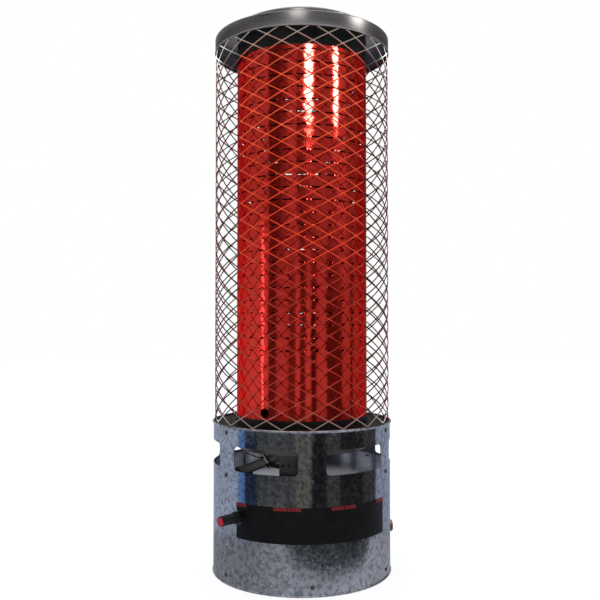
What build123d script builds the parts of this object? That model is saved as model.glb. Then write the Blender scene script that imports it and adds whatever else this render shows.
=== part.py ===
from build123d import *
import math
import os

# Upright gas-fired radiant heater: a sheet base drum, a slotted radiant tube, a wire guard and a cap.
#
# Millimetres, +Z up, origin on the floor under the middle of the base. The front is -Y.
# An angle round the heater is counted from the front in degrees, positive towards +X.

# ---------------------------------------------------------------- overall sizes
BASE_RADIUS = 190.5  # 15 in drum
TOTAL_HEIGHT = 1171.0  # 46 in to the lid, and the head of the bolt on it
SHEET = 1.2  # steel sheet of the base and the deck
SHEET_GAP = 0.2  # air left between two rolled sheets, one inside the other

# ---------------------------------------------------------------- base drum
BASE_HEIGHT = 319.5
TOP_BEAD = 2.5  # how far the rolled top edge stands out
BOTTOM_BEAD = 1.5
BEAD_HEIGHT = 5.0
WINDOW_COUNT = 6
WINDOW_FIRST_ANGLE = 30.0
WINDOW_SPAN = 43.4  # degrees of the wall
WINDOW_BOTTOM = 232.0
WINDOW_TOP = 280.5
WINDOW_CORNER = 9.0

# ---------------------------------------------------------------- pans inside the drum
BOTTOM_PAN_Z = 2.0
BOTTOM_PAN_FLANGE = 26.0
TRAY_Z = 203.0  # underside of the burner tray's floor
TRAY_FLANGE = 24.0
DECK_DROP = 3.5  # the deck lies this far below the drum's top edge
DECK_LEDGE = 10.0  # how far the deck reaches in under the tube
DECK_FLANGE = 20.0
DRUM_INSET = 3.0  # the burner drum under the deck is this much smaller than the tube
DRUM_DEPTH = 54.0
DRUM_LIP = 12.0  # inward lip at its lower edge
DRUM_FLANGE = 10.0  # outward flange under the deck

# ---------------------------------------------------------------- screws through the wall
SCREW_COUNT = 6
SCREW_RISE = 17.0  # above the underside of the bottom pan and of the burner tray
SCREW_DROP = 10.5  # below the deck
SCREW_HEAD_WIDTH = 7.0
SCREW_HEAD_HEIGHT = 2.2
SCREW_SHANK_WIDTH = 3.5
SCREW_LENGTH = 7.0

# ---------------------------------------------------------------- radiant tube
TUBE_RADIUS = 141.0
TUBE_WALL = 1.2
SLOT_PITCH = 25.4
SLOT_TOP_MARGIN = 10.2  # from the top row to the tube's top edge
SLOT_FOOT_MARGIN = 156.0  # least distance of the lowest row above the deck
SLOT_FIRST_ANGLE = -6.3
LONG_SLOT_ROWS = 13
SLOT_COLUMNS = 30
SLOT_ROW_STRIDE = 4  # every fourth row and fifth column of slots is cut, to keep the mesh light
SLOT_COLUMN_STRIDE = 5
SLOT_HEIGHT = 2.8
LONG_SLOT = 20.5
SHORT_SLOT = 9.0
LIGHTING_HOLE_RADIUS = 10.0
LIGHTING_HOLE_ANGLE = -38.5
LIGHTING_HOLE_RISE = 29.0  # above the deck
FOOT_RING_HEIGHT = 15.0
FOOT_RING_WIDTH = 12.0
TUBE_CAP_HEIGHT = 48.6
TUBE_CAP_SPIGOT = 12.0  # how far the tube cap reaches into the tube

# ---------------------------------------------------------------- cap
CAP_INSET = 1.5  # the cap's skirt is this much smaller in radius than the base drum
CAP_SHEET = 0.9
CAP_BAND = 31.0
CAP_HEM = 2.5
CAP_HEM_OUT = 0.8
CAP_FLANGE = 12.0  # the band's top edge, turned in over the plate
LID_OVERSIZE = 1.0  # over the tube's radius
LID_RISE = 26.0
LID_CORNER = 4.0
CENTRE_BOLT_WIDTH = 8.0  # across the flats of its hexagonal shank
CENTRE_BOLT_HEAD = 2.6  # height of the bolt's head above the lid
CENTRE_BOLT_HEX = 17.0
CENTRE_NUT_HEX = 15.0
LID_SPACER_HEX = 18.0

# ---------------------------------------------------------------- guard
GUARD_COLUMNS = 11
GUARD_ROWS = 10
GUARD_SHEET = 1.5
GUARD_STRAND = 3.0
GUARD_GAP = 0.3  # inside the cap's skirt
GUARD_FIRST_ANGLE = 0.5

# ---------------------------------------------------------------- burner
MIXER_ANGLE = -59.3
MIXER_RADIUS = 10.0
MIXER_WALL = 1.2
MIXER_MOUTH_INSET = 28.5  # from the drum's wall
MIXER_MOUTH_RISE = 18.5  # above the tray's underside
MIXER_SLOPE = 12.8
MIXER_BELL_RADIUS = 13.0
MIXER_BELL_LENGTH = 12.0
BURNER_RADIUS = 50.0
BURNER_BOTTOM = 268.0
BURNER_TOP = 292.0
BURNER_WALL = 4.0
BURNER_NECK_RADIUS = 17.0
BURNER_NECK_LENGTH = 30.0
BURNER_FACETS = 24  # flat faces round the cast head
BURNER_PORTS = 8
BURNER_PORT_WIDTH = 3.0
BURNER_SOCKET = 34.0  # how far the socket reaches from the axis along the mixer tube
BRACKET_STEEL = 3.0  # strap of the burner stand and the mixer saddle
BURNER_STAND_WIDTH = 36.0
BURNER_STAND_SPAN = 60.0
STAND_FOOT = 12.0
SADDLE_WIDTH = 34.0
SADDLE_INSET = 22.0  # from the mixer tube's mouth
SPREADER_RADIUS = 100.0
SPREADER_TOP_RADIUS = 25.0
SPREADER_EDGE_RISE = 36.0  # its lower edge above the deck
SPREADER_RISE = 24.0
SPREADER_SHEET = 1.5
SPREADER_LEGS = 3
SPREADER_LEG_WIDTH = 12.0
SPREADER_LEG_ANGLE = 30.0
SPREADER_LEG_INSET = 2.0  # from the deck's ledge
SPREADER_FOOT_GAP = 1.0  # inside the tube
SPREADER_FACETS = 16  # flat faces that the cone is folded into

# ---------------------------------------------------------------- gas valve and its push button
VALVE_ANGLE = -48.0
VALVE_Z = 142.0
BARREL_LENGTH = 47.5
BARREL_TIP_RADIUS = 9.75
BARREL_BODY_RADIUS = 10.3
BARREL_FLANGE_RADIUS = 12.25
BARREL_FLANGE_LENGTH = 10.0
BARREL_NECK_RADIUS = 8.0
BARREL_NECK_LENGTH = 16.0
BARREL_RIM = 1.1  # wall round the button
BARREL_FLOOR = 14.0  # where the button's bore ends
BUTTON_TRAVEL = 6.0
BUTTON_LENGTH = 13.0
BUTTON_PROUD = 1.4
BUTTON_EDGE = 1.5
BUTTON_FACE = 5.0  # solid end in front of the stem
STEM_RADIUS = 3.0
RUNNING_FIT = 0.08
SPRING_WIRE = 1.0
SPRING_RADIUS = 5.6
SPRING_TURNS = 5
SPRING_FACETS = 10  # straight pieces per turn
VALVE_BODY_WIDTH = 26.0  # square bar
VALVE_BODY_LENGTH = 32.0
VALVE_NUT_GAP = 1.3  # between the barrel's nut and the valve's body
VALVE_BOSS_WIDTH = 16.0
VALVE_BOSS_REACH = 21.0
MAGNET_CAP_HEX = 19.0
MAGNET_CAP_LENGTH = 16.0
BARREL_NUT_HEX = 21.0
LEAD_NUT_HEX = 9.0

# ---------------------------------------------------------------- gas pipes and inlet
PIPE_RADIUS = 4.0
PIPE_WALL = 1.0
BEND_FACETS = 3  # straight pieces that a pipe's bend is drawn with
INLET_ANGLE = 90.0
INLET_Z = 83.0
INLET_THREAD_RADIUS = 7.25  # tapped 3/8 in
INLET_THREAD_DEPTH = 7.0  # all of it in the hexagon
INLET_HEX = 22.0
INLET_HEX_LENGTH = 8.5
INLET_NECK_RADIUS = 9.5
INLET_NECK_LENGTH = 24.0
INLET_NUT_HEX = 26.0
INLET_PIPE_TURN = 110.0  # where the inlet pipe turns towards the valve, from the heater's axis
PIPE_BEND = 20.0
FEED_BEND = 10.0
FEED_RISE = 40.0  # of the feed pipe's bend above the valve's axis
NUT_THICKNESS = 5.0
THREAD_GAP = 0.05
SEAT_GAP = 0.1  # between a flat face and the round wall it sits on
JET_LENGTH = 12.0
JET_HEX = 12.0
JET_NOZZLE_RADIUS = 3.0
JET_NOZZLE_LENGTH = 4.0
JET_NOZZLE_ROOT = 1.0  # its length inside the hexagon
JET_GAP = 1.0  # from the nozzle to the mixer tube's mouth
PIPE_GAP = 0.1
PIPE_HOLE_GAP = 1.2  # round a pipe where it passes the tray
PIPE_SOCKET = 8.0

# ---------------------------------------------------------------- flame sensing
BRACKET_ANGLE = -17.2
BRACKET_INSET = 8.0  # from the burner drum's radius
BRACKET_WIDTH = 42.6
BRACKET_SHEET = 2.0
BRACKET_TAB = 10.0
BRACKET_HOLE_RADIUS = 4.0
BRACKET_HOLE_Z = 241.0
BRACKET_HOLE_PITCH = 13.7
SENSOR_RADIUS = 4.3
SENSOR_TOP_ANGLE = -49.3
SENSOR_TOP_INSET = 21.7  # from the burner drum's radius
SENSOR_TOP_DROP = 61.1  # below the deck
SENSOR_FOOT_ANGLE = -41.5
SENSOR_FOOT_INSET = 27.8
SENSOR_FOOT_DROP = 86.1
SENSOR_TIP_R = 64.0
SENSOR_TIP_DROP = 16.0
SENSOR_TIP_RADIUS = 1.6
SENSOR_BEND = 8.0
SENSOR_STRAIGHT = 12.0  # from the sleeve to the corner of the tip's bend
CLAMP_SHEET = 2.0
CLAMP_WIDTH = 8.0
CLAMP_PLACE = 0.25  # of the way up the sleeve
LEAD_RADIUS = 1.2
LEAD_HOLE_ANGLE = -69.0
LEAD_HOLE_INSET = 3.0  # from the burner drum's radius
LEAD_BEND = 8.0
LEAD_TAIL = 20.0  # straight run of the lead into its nut
LEAD_DROP = 5.0  # of its highest bend below the burner drum

# ---------------------------------------------------------------- label
LABEL_CENTRE = 2.3
LABEL_PANELS = 3
LABEL_PANEL_SPAN = 34.0
LABEL_GAP = 0.4  # degrees between two panels
LABEL_BOTTOM = 101.0
LABEL_TOP = 171.4
LABEL_FILM = 0.5
LABEL_TAB_HEIGHT = 6.8
LABEL_TAB_SPAN = 8.0

# ---------------------------------------------------------------- worked-out places
WALL_INSIDE = BASE_RADIUS - SHEET
PAN_RADIUS = WALL_INSIDE - SHEET_GAP
DECK_TOP = BASE_HEIGHT - DECK_DROP
DECK_HOLE_RADIUS = TUBE_RADIUS - DECK_LEDGE
DRUM_RADIUS = TUBE_RADIUS - DRUM_INSET
DRUM_BOTTOM = DECK_TOP - DRUM_DEPTH
TRAY_TOP = TRAY_Z + SHEET
CAP_RADIUS = BASE_RADIUS - CAP_INSET
CAP_TOP = TOTAL_HEIGHT - LID_RISE - CENTRE_BOLT_HEAD
PLATE_TOP = CAP_TOP - CAP_SHEET
CAP_UNDERSIDE = PLATE_TOP - CAP_SHEET
LID_RADIUS = TUBE_RADIUS + LID_OVERSIZE
GUARD_RADIUS = CAP_RADIUS - CAP_SHEET - GUARD_GAP
TUBE_TOP = CAP_UNDERSIDE - TUBE_CAP_HEIGHT
TOP_SLOT_Z = TUBE_TOP - SLOT_TOP_MARGIN
SLOT_ROWS = 1 + int((TOP_SLOT_Z - DECK_TOP - SLOT_FOOT_MARGIN) / SLOT_PITCH)
MIXER_MOUTH_R = BASE_RADIUS - MIXER_MOUTH_INSET
MIXER_MOUTH_Z = TRAY_Z + MIXER_MOUTH_RISE
JET_X = JET_GAP + JET_NOZZLE_LENGTH + JET_LENGTH / 2  # middle of the jet, in front of the mixer's mouth
JET_PIPE_R = MIXER_MOUTH_R + JET_X * math.cos(math.radians(MIXER_SLOPE))
JET_Z = MIXER_MOUTH_Z - JET_X * math.sin(math.radians(MIXER_SLOPE))
VALVE_BODY_X = -(SHEET + NUT_THICKNESS + VALVE_NUT_GAP)  # its outer face, behind the nut
VALVE_BOSS_X = VALVE_BODY_X - VALVE_BODY_LENGTH / 2
VALVE_BOSS_R = BASE_RADIUS + VALVE_BOSS_X
MAGNET_CAP_X = VALVE_BODY_X - VALVE_BODY_LENGTH
LEAD_NUT_X = MAGNET_CAP_X - MAGNET_CAP_LENGTH
BUTTON_FRONT = BARREL_LENGTH + BUTTON_PROUD
BUTTON_BACK = BUTTON_FRONT - BUTTON_LENGTH
BUTTON_RADIUS = BARREL_TIP_RADIUS - BARREL_RIM - RUNNING_FIT
LEAD_HOLE_R = DRUM_RADIUS - LEAD_HOLE_INSET
BRACKET_RADIUS = DRUM_RADIUS - BRACKET_INSET
SPREADER_EDGE_Z = DECK_TOP + SPREADER_EDGE_RISE
FULL_TURN = 360.0


# ---------------------------------------------------------------- helpers
def turned(*points):
    """A ring or disc turned about the heater's axis from its (radius, height) outline."""
    outline = make_face(Plane.XZ * Polyline(*points, close=True))
    return revolve(outline, axis=Axis.Z)


def turned_along_x(*points):
    """A piece turned about its own X axis from its (distance, radius) outline."""
    outline = make_face(Plane.XY * Polyline(*points, close=True))
    return revolve(outline, axis=Axis.X)


def facing(angle, radius=0.0, z=0.0):
    """A place whose X axis points outwards at an angle round the heater."""
    return Rot(0, 0, angle - 90) * Pos(radius, 0, z)


def around(count, first=0.0):
    """The angles of a number of equal steps round the heater."""
    return [first + FULL_TURN * i / count for i in range(count)]


def point_at(angle, radius, z):
    """A point given by its angle and distance from the heater's axis."""
    turn = math.radians(angle)
    return Vector(radius * math.sin(turn), -radius * math.cos(turn), z)


def rod_along(points, bends, radius, sides=12):
    """A rod along straight runs joined by bends, faceted to keep the mesh light."""
    path = FilletPolyline(*points, radius=bends)
    spots = [points[0]]
    for edge in path.order_edges():
        steps = BEND_FACETS if edge.geom_type == GeomType.CIRCLE else 1
        spots += [edge @ ((step + 1) / steps) for step in range(steps)]
    section = Plane(origin=spots[0], z_dir=spots[1] - spots[0]) * RegularPolygon(radius, sides)
    return sweep(section, path=Polyline(*spots), transition=Transition.RIGHT)


def hexagon(width, length):
    """A hexagonal bar along X, given by its width across flats."""
    side = RegularPolygon(width / math.sqrt(3), 6)
    return extrude(Plane.YZ * side, length)


def wall_sector(inside, thickness, bottom, top, start, end):
    """A piece of a round wall between two angles."""
    outside = inside + thickness
    corners = ((inside, bottom), (outside, bottom), (outside, top), (inside, top))
    outline = make_face(Plane.XZ * Polyline(*corners, close=True))
    return Rot(0, 0, start - 90) * revolve(outline, axis=Axis.Z, revolution_arc=end - start)


# ---------------------------------------------------------------- base
def window_cut(angle):
    """The rounded opening of one air window."""
    width = 2 * BASE_RADIUS * math.sin(math.radians(WINDOW_SPAN / 2))
    height = WINDOW_TOP - WINDOW_BOTTOM
    outline = Plane.YZ * RectangleRounded(width, height, WINDOW_CORNER)
    depth = BASE_RADIUS / 2
    return facing(angle, BASE_RADIUS - depth, WINDOW_BOTTOM + height / 2) * extrude(outline, 2 * depth)


def base_shell():
    shell = turned(
        (WALL_INSIDE, 0),
        (BASE_RADIUS + BOTTOM_BEAD, 0),
        (BASE_RADIUS + BOTTOM_BEAD, BEAD_HEIGHT / 2),
        (BASE_RADIUS, BEAD_HEIGHT),
        (BASE_RADIUS, BASE_HEIGHT - BEAD_HEIGHT),
        (BASE_RADIUS + TOP_BEAD, BASE_HEIGHT - BEAD_HEIGHT / 2),
        (BASE_RADIUS + TOP_BEAD, BASE_HEIGHT),
        (WALL_INSIDE, BASE_HEIGHT),
    )
    cuts = [window_cut(angle) for angle in around(WINDOW_COUNT, WINDOW_FIRST_ANGLE)]
    through = 4 * SHEET
    for angle, z, neck in (
        (VALVE_ANGLE, VALVE_Z, BARREL_NECK_RADIUS),
        (INLET_ANGLE, INLET_Z, INLET_NECK_RADIUS),
    ):
        bore = Rot(0, 90, 0) * Cylinder(neck + SHEET_GAP, 2 * through)
        cuts.append(facing(angle, BASE_RADIUS, z) * bore)
    return shell - cuts


def pan_with_rim(bottom, rim):
    """A flat pan inside the drum, with an upturned rim against the wall."""
    return turned(
        (0, bottom),
        (PAN_RADIUS, bottom),
        (PAN_RADIUS, bottom + rim),
        (PAN_RADIUS - SHEET, bottom + rim),
        (PAN_RADIUS - SHEET, bottom + SHEET),
        (0, bottom + SHEET),
    )


def burner_tray():
    tray = pan_with_rim(TRAY_Z, TRAY_FLANGE)
    holes = []
    for angle, distance, radius in (
        (MIXER_ANGLE, JET_PIPE_R, PIPE_RADIUS),
        (LEAD_HOLE_ANGLE, LEAD_HOLE_R, LEAD_RADIUS),
    ):
        hole = extrude(RegularPolygon(radius + PIPE_HOLE_GAP, 8), 4 * SHEET, both=True)
        holes.append(Pos(*point_at(angle, distance, TRAY_Z)) * hole)
    return tray - holes


def deck_pan():
    return turned(
        (DECK_HOLE_RADIUS, DECK_TOP - SHEET),
        (PAN_RADIUS - SHEET, DECK_TOP - SHEET),
        (PAN_RADIUS - SHEET, DECK_TOP - DECK_FLANGE),
        (PAN_RADIUS, DECK_TOP - DECK_FLANGE),
        (PAN_RADIUS, DECK_TOP),
        (DECK_HOLE_RADIUS, DECK_TOP),
    )


def burner_drum():
    top = DECK_TOP - SHEET
    inside = DRUM_RADIUS - SHEET
    return turned(
        (DRUM_RADIUS - DRUM_LIP, DRUM_BOTTOM),
        (DRUM_RADIUS, DRUM_BOTTOM),
        (DRUM_RADIUS, top - SHEET),
        (DRUM_RADIUS + DRUM_FLANGE, top - SHEET),
        (DRUM_RADIUS + DRUM_FLANGE, top),
        (inside, top),
        (inside, DRUM_BOTTOM + SHEET),
        (DRUM_RADIUS - DRUM_LIP, DRUM_BOTTOM + SHEET),
    )


def wall_screw(angle, z):
    """A hex-headed sheet screw driven into the wall from outside."""
    head = hexagon(SCREW_HEAD_WIDTH, SCREW_HEAD_HEIGHT)
    shank = Pos(-SCREW_LENGTH, 0, 0) * hexagon(SCREW_SHANK_WIDTH, SCREW_LENGTH)
    return facing(angle, BASE_RADIUS, z) * (head + shank)


def wall_screws(z):
    return [wall_screw(angle, z) for angle in around(SCREW_COUNT)]


# ---------------------------------------------------------------- radiant tube and cap
def slot_cut(angle, z, width):
    reach = 10 * TUBE_WALL
    return facing(angle, TUBE_RADIUS, z) * Box(reach, width, SLOT_HEIGHT)


def radiant_tube():
    tube = turned(
        (TUBE_RADIUS - TUBE_WALL, DECK_TOP),
        (TUBE_RADIUS, DECK_TOP),
        (TUBE_RADIUS, TUBE_TOP),
        (TUBE_RADIUS - TUBE_WALL, TUBE_TOP),
    )
    cuts = []
    for row in range(0, SLOT_ROWS, SLOT_ROW_STRIDE):
        width = LONG_SLOT if row < LONG_SLOT_ROWS else SHORT_SLOT
        for angle in around(SLOT_COLUMNS, SLOT_FIRST_ANGLE)[::SLOT_COLUMN_STRIDE]:
            cuts.append(slot_cut(angle, TOP_SLOT_Z - row * SLOT_PITCH, width))
    hole = Rot(0, 90, 0) * Cylinder(LIGHTING_HOLE_RADIUS, 20 * TUBE_WALL)
    cuts.append(facing(LIGHTING_HOLE_ANGLE, TUBE_RADIUS, DECK_TOP + LIGHTING_HOLE_RISE) * hole)
    return tube - cuts


def foot_ring():
    inside = TUBE_RADIUS + SHEET_GAP
    outside = inside + SHEET
    return turned(
        (inside, DECK_TOP),
        (outside + FOOT_RING_WIDTH, DECK_TOP),
        (outside + FOOT_RING_WIDTH, DECK_TOP + SHEET),
        (outside, DECK_TOP + SHEET),
        (outside, DECK_TOP + FOOT_RING_HEIGHT),
        (inside, DECK_TOP + FOOT_RING_HEIGHT),
    )


def centre_hole():
    """The hole for the centre bolt, through every sheet that it holds."""
    across = CENTRE_BOLT_WIDTH / math.sqrt(3) + SHEET_GAP
    return extrude(RegularPolygon(across, 6), 2 * TOTAL_HEIGHT)


def tube_cap():
    spigot = TUBE_RADIUS - TUBE_WALL - SHEET_GAP
    inside = spigot - SHEET
    cap = turned(
        (inside, TUBE_TOP - TUBE_CAP_SPIGOT),
        (spigot, TUBE_TOP - TUBE_CAP_SPIGOT),
        (spigot, TUBE_TOP),
        (TUBE_RADIUS, TUBE_TOP),
        (TUBE_RADIUS, CAP_UNDERSIDE),
        (0, CAP_UNDERSIDE),
        (0, CAP_UNDERSIDE - SHEET),
        (inside, CAP_UNDERSIDE - SHEET),
    )
    return cap - centre_hole()


def cap_band():
    """The cap's skirt, hemmed below and turned in over the plate."""
    inside = CAP_RADIUS - CAP_SHEET
    bottom = CAP_TOP - CAP_BAND
    corner = 2 * CAP_SHEET
    return turned(
        (inside, bottom),
        (CAP_RADIUS + CAP_HEM_OUT, bottom),
        (CAP_RADIUS + CAP_HEM_OUT, bottom + CAP_HEM),
        (CAP_RADIUS, bottom + CAP_HEM + CAP_HEM_OUT),
        (CAP_RADIUS, CAP_TOP - corner),
        (CAP_RADIUS - corner, CAP_TOP),
        (CAP_RADIUS - CAP_FLANGE, CAP_TOP),
        (CAP_RADIUS - CAP_FLANGE, PLATE_TOP),
        (inside, PLATE_TOP),
    )


def cap_plate():
    radius = CAP_RADIUS - CAP_SHEET - SHEET_GAP
    plate = turned((0, CAP_UNDERSIDE), (radius, CAP_UNDERSIDE), (radius, PLATE_TOP), (0, PLATE_TOP))
    return plate - centre_hole()


def cap_lid():
    top = CAP_TOP + LID_RISE
    inside = LID_RADIUS - CAP_SHEET
    lid = turned(
        (inside, PLATE_TOP),
        (LID_RADIUS, PLATE_TOP),
        (LID_RADIUS, top - LID_CORNER),
        (LID_RADIUS - LID_CORNER, top),
        (0, top),
        (0, top - CAP_SHEET),
        (LID_RADIUS - LID_CORNER, top - CAP_SHEET),
        (inside, top - LID_CORNER),
    )
    return lid - centre_hole()


def upright_hexagon(width, bottom, top):
    """A hexagonal bar on the heater's axis."""
    return Pos(0, 0, bottom) * extrude(RegularPolygon(width / math.sqrt(3), 6), top - bottom)


def lid_spacer():
    return upright_hexagon(LID_SPACER_HEX, PLATE_TOP, CAP_TOP + LID_RISE - CAP_SHEET) - centre_hole()


def centre_bolt():
    top = CAP_TOP + LID_RISE
    end = CAP_UNDERSIDE - SHEET - 2 * NUT_THICKNESS
    shank = upright_hexagon(CENTRE_BOLT_WIDTH, end, top)
    return shank + upright_hexagon(CENTRE_BOLT_HEX, top, top + CENTRE_BOLT_HEAD)


def centre_nut():
    top = CAP_UNDERSIDE - SHEET
    return upright_hexagon(CENTRE_NUT_HEX, top - NUT_THICKNESS, top) - centre_hole()


def hex_nut(width, bore, thickness):
    """A hexagonal nut along X, from its outer face inwards."""
    hole = Rot(0, 90, 0) * Cylinder(bore, 4 * thickness)
    return Rot(0, 180, 0) * (hexagon(width, thickness) - hole)


def strand_edge(fold, height, bonded_at_foot):
    """One edge of a zigzag strand, from the bottom up: bonds at y = fold, and notches between them."""
    cell = height / GUARD_ROWS
    open_share = 1 - GUARD_STRAND * math.hypot(1 / (4 * fold), 1 / cell)
    tip = fold * (1 - 2 * open_share)
    half_open = open_share * cell / 2
    first = 0.5 if bonded_at_foot else 0.0
    notches = [height * (first + row) / GUARD_ROWS for row in range(GUARD_ROWS + 1)]
    spots = [(fold, 0.0)] if bonded_at_foot else []
    for notch in notches:
        if notch <= height:
            spots += [(fold, notch - half_open), (tip, notch), (fold, notch + half_open)]
    if bonded_at_foot:
        spots.append((fold, height))
    return [spot for spot in spots if 0 <= spot[1] <= height]


def guard_strand(height):
    """A zigzag strand of flattened mesh between two folds, mitred where it meets its neighbours."""
    half_turn = math.radians(FULL_TURN / GUARD_COLUMNS / 4)
    across = math.sin(half_turn)
    outwards = math.cos(half_turn)
    inner = GUARD_RADIUS - GUARD_SHEET
    corners = [(outwards * r, side * across * r) for r, side in ((inner, -1), (GUARD_RADIUS, -1))]
    corners += [(x, -y) for x, y in reversed(corners)]
    panel = extrude(make_face(Plane.XY * Polyline(*corners, close=True)), height)
    fold = across * GUARD_RADIUS
    left = [(-y, z) for y, z in strand_edge(fold, height, True)]
    right = strand_edge(fold, height, False)
    outline = make_face(Plane.YZ * Polyline(*right, *reversed(left), close=True))
    return panel & extrude(outline, 2 * GUARD_RADIUS)


def guard_mesh():
    """The expanded-metal guard: zigzag strands, each bonded to the next along the folds."""
    strand = guard_strand(CAP_UNDERSIDE - DECK_TOP)
    mirrored = mirror(strand, about=Plane.XZ)
    step = FULL_TURN / GUARD_COLUMNS
    strands = []
    for angle in around(GUARD_COLUMNS, GUARD_FIRST_ANGLE):
        strands.append(facing(angle + step / 4, 0, DECK_TOP) * strand)
        strands.append(facing(angle + step * 3 / 4, 0, DECK_TOP) * mirrored)
    return strands


# ---------------------------------------------------------------- burner
def mixer_place():
    """The mixer tube's mouth; X points out of it, and down."""
    return facing(MIXER_ANGLE, MIXER_MOUTH_R, MIXER_MOUTH_Z) * Rot(0, MIXER_SLOPE, 0)


def mixer_tube():
    run = (MIXER_MOUTH_R - BURNER_SOCKET / 2) / math.cos(math.radians(MIXER_SLOPE))
    return mixer_place() * turned_along_x(
        (-run, MIXER_RADIUS),
        (-MIXER_BELL_LENGTH, MIXER_RADIUS),
        (0, MIXER_BELL_RADIUS),
        (0, MIXER_BELL_RADIUS - MIXER_WALL),
        (-MIXER_BELL_LENGTH, MIXER_RADIUS - MIXER_WALL),
        (-run, MIXER_RADIUS - MIXER_WALL),
    )


def burner_head():
    """The cast head: a disc with ports in its rim, its neck, and the socket for the mixer tube."""
    wall = BURNER_WALL
    bore = MIXER_RADIUS + PIPE_GAP
    to_axis = MIXER_MOUTH_R / math.cos(math.radians(MIXER_SLOPE))
    length = BURNER_SOCKET / math.cos(math.radians(MIXER_SLOPE))
    along_socket = mixer_place() * Pos(length / 2 - to_axis, 0, 0) * Rot(0, 90, 0)
    disc = extrude(RegularPolygon(BURNER_RADIUS, BURNER_FACETS), BURNER_TOP - BURNER_BOTTOM)
    neck = extrude(RegularPolygon(BURNER_NECK_RADIUS, BURNER_FACETS // 2), BURNER_NECK_LENGTH)
    socket = extrude(RegularPolygon(bore + wall, BURNER_FACETS // 2), length / 2, both=True)
    port = Pos(BURNER_RADIUS, 0, BURNER_TOP) * Box(2 * wall, BURNER_PORT_WIDTH, 4 * wall)
    ports = [Rot(0, 0, angle) * port for angle in around(BURNER_PORTS, FULL_TURN / BURNER_FACETS / 2)]
    head = Pos(0, 0, BURNER_BOTTOM) * disc + Pos(0, 0, BURNER_BOTTOM - BURNER_NECK_LENGTH) * neck
    return head + along_socket * socket - along_socket * Cylinder(bore, length) - ports


def strap(width, *outline):
    """A strap bent from sheet: its (x, z) outline, as wide as given in Y."""
    return extrude(make_face(Plane.XZ * Polyline(*outline, close=True)), width / 2, both=True)


def burner_stand():
    """The bridge under the burner's neck, square to the mixer tube."""
    top = BURNER_BOTTOM - BURNER_NECK_LENGTH
    leg = BURNER_STAND_SPAN / 2
    foot = leg + STAND_FOOT
    steel = BRACKET_STEEL
    return facing(MIXER_ANGLE + 90) * strap(
        BURNER_STAND_WIDTH,
        (-foot, TRAY_TOP),
        (-foot, TRAY_TOP + steel),
        (-leg, TRAY_TOP + steel),
        (-leg, top),
        (leg, top),
        (leg, TRAY_TOP + steel),
        (foot, TRAY_TOP + steel),
        (foot, TRAY_TOP),
        (leg - steel, TRAY_TOP),
        (leg - steel, top - steel),
        (steel - leg, top - steel),
        (steel - leg, TRAY_TOP),
    )


def mixer_saddle():
    """The notched plate that carries the mixer tube near its mouth."""
    place = MIXER_MOUTH_R - SADDLE_INSET
    steel = BRACKET_STEEL
    plate = facing(MIXER_ANGLE) * strap(
        SADDLE_WIDTH,
        (place, TRAY_TOP),
        (place, MIXER_MOUTH_Z),
        (place - steel, MIXER_MOUTH_Z),
        (place - steel, TRAY_TOP + steel),
        (place - steel - STAND_FOOT, TRAY_TOP + steel),
        (place - steel - STAND_FOOT, TRAY_TOP),
    )
    notch = mixer_place() * Pos(-SADDLE_INSET, 0, 0) * Rot(0, 90, 0) * Cylinder(
        MIXER_RADIUS + PIPE_GAP, 2 * SADDLE_INSET
    )
    return plate - notch


def gas_jet():
    """The hexagonal jet in front of the mixer's mouth, with the feed pipe's socket from below."""
    start = JET_X - JET_LENGTH / 2
    body = mixer_place() * Pos(start, 0, 0) * hexagon(JET_HEX, JET_LENGTH)
    nozzle = mixer_place() * turned_along_x(
        (start - JET_NOZZLE_LENGTH, 0),
        (start - JET_NOZZLE_LENGTH, JET_NOZZLE_RADIUS / 2),
        (start, JET_NOZZLE_RADIUS),
        (start + JET_NOZZLE_ROOT, JET_NOZZLE_RADIUS),
        (start + JET_NOZZLE_ROOT, 0),
    )
    socket = Pos(*point_at(MIXER_ANGLE, JET_PIPE_R, JET_Z - JET_HEX)) * Cylinder(
        PIPE_RADIUS + PIPE_GAP, 2 * JET_HEX
    )
    return body + nozzle - socket


def spreader_cone(edge_z):
    """A solid cone with its point cut off, in flat folded faces."""
    foot = Pos(0, 0, edge_z) * RegularPolygon(SPREADER_RADIUS, SPREADER_FACETS)
    top = Pos(0, 0, edge_z + SPREADER_RISE) * RegularPolygon(SPREADER_TOP_RADIUS, SPREADER_FACETS)
    return loft([foot, top], ruled=True)


def flame_spreader():
    """The cone above the burner, on three legs that stand on the deck's ledge."""
    sheet = SPREADER_SHEET
    level = SPREADER_EDGE_Z + sheet / 2
    start = SPREADER_RADIUS - SPREADER_LEG_WIDTH
    riser = DECK_HOLE_RADIUS + SPREADER_LEG_INSET
    foot = TUBE_RADIUS - TUBE_WALL - SPREADER_FOOT_GAP
    leg = strap(
        SPREADER_LEG_WIDTH,
        (start, level),
        (riser, level),
        (riser, DECK_TOP + sheet),
        (foot, DECK_TOP + sheet),
        (foot, DECK_TOP),
        (riser - sheet, DECK_TOP),
        (riser - sheet, level - sheet),
        (start, level - sheet),
    )
    legs = [facing(angle) * leg for angle in around(SPREADER_LEGS, SPREADER_LEG_ANGLE)]
    return spreader_cone(SPREADER_EDGE_Z) - spreader_cone(SPREADER_EDGE_Z - sheet) + legs


# ---------------------------------------------------------------- gas valve and its push button
def valve_place():
    """The button's axis where it passes the wall; X points out of the wall."""
    return facing(VALVE_ANGLE, BASE_RADIUS, VALVE_Z)


def seat_depth(width, radius):
    """How far inside a round surface a flat face of a given width across flats has its nearest place."""
    half = width / math.sqrt(3)
    return radius - math.sqrt(radius**2 - half**2) + SEAT_GAP


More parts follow.
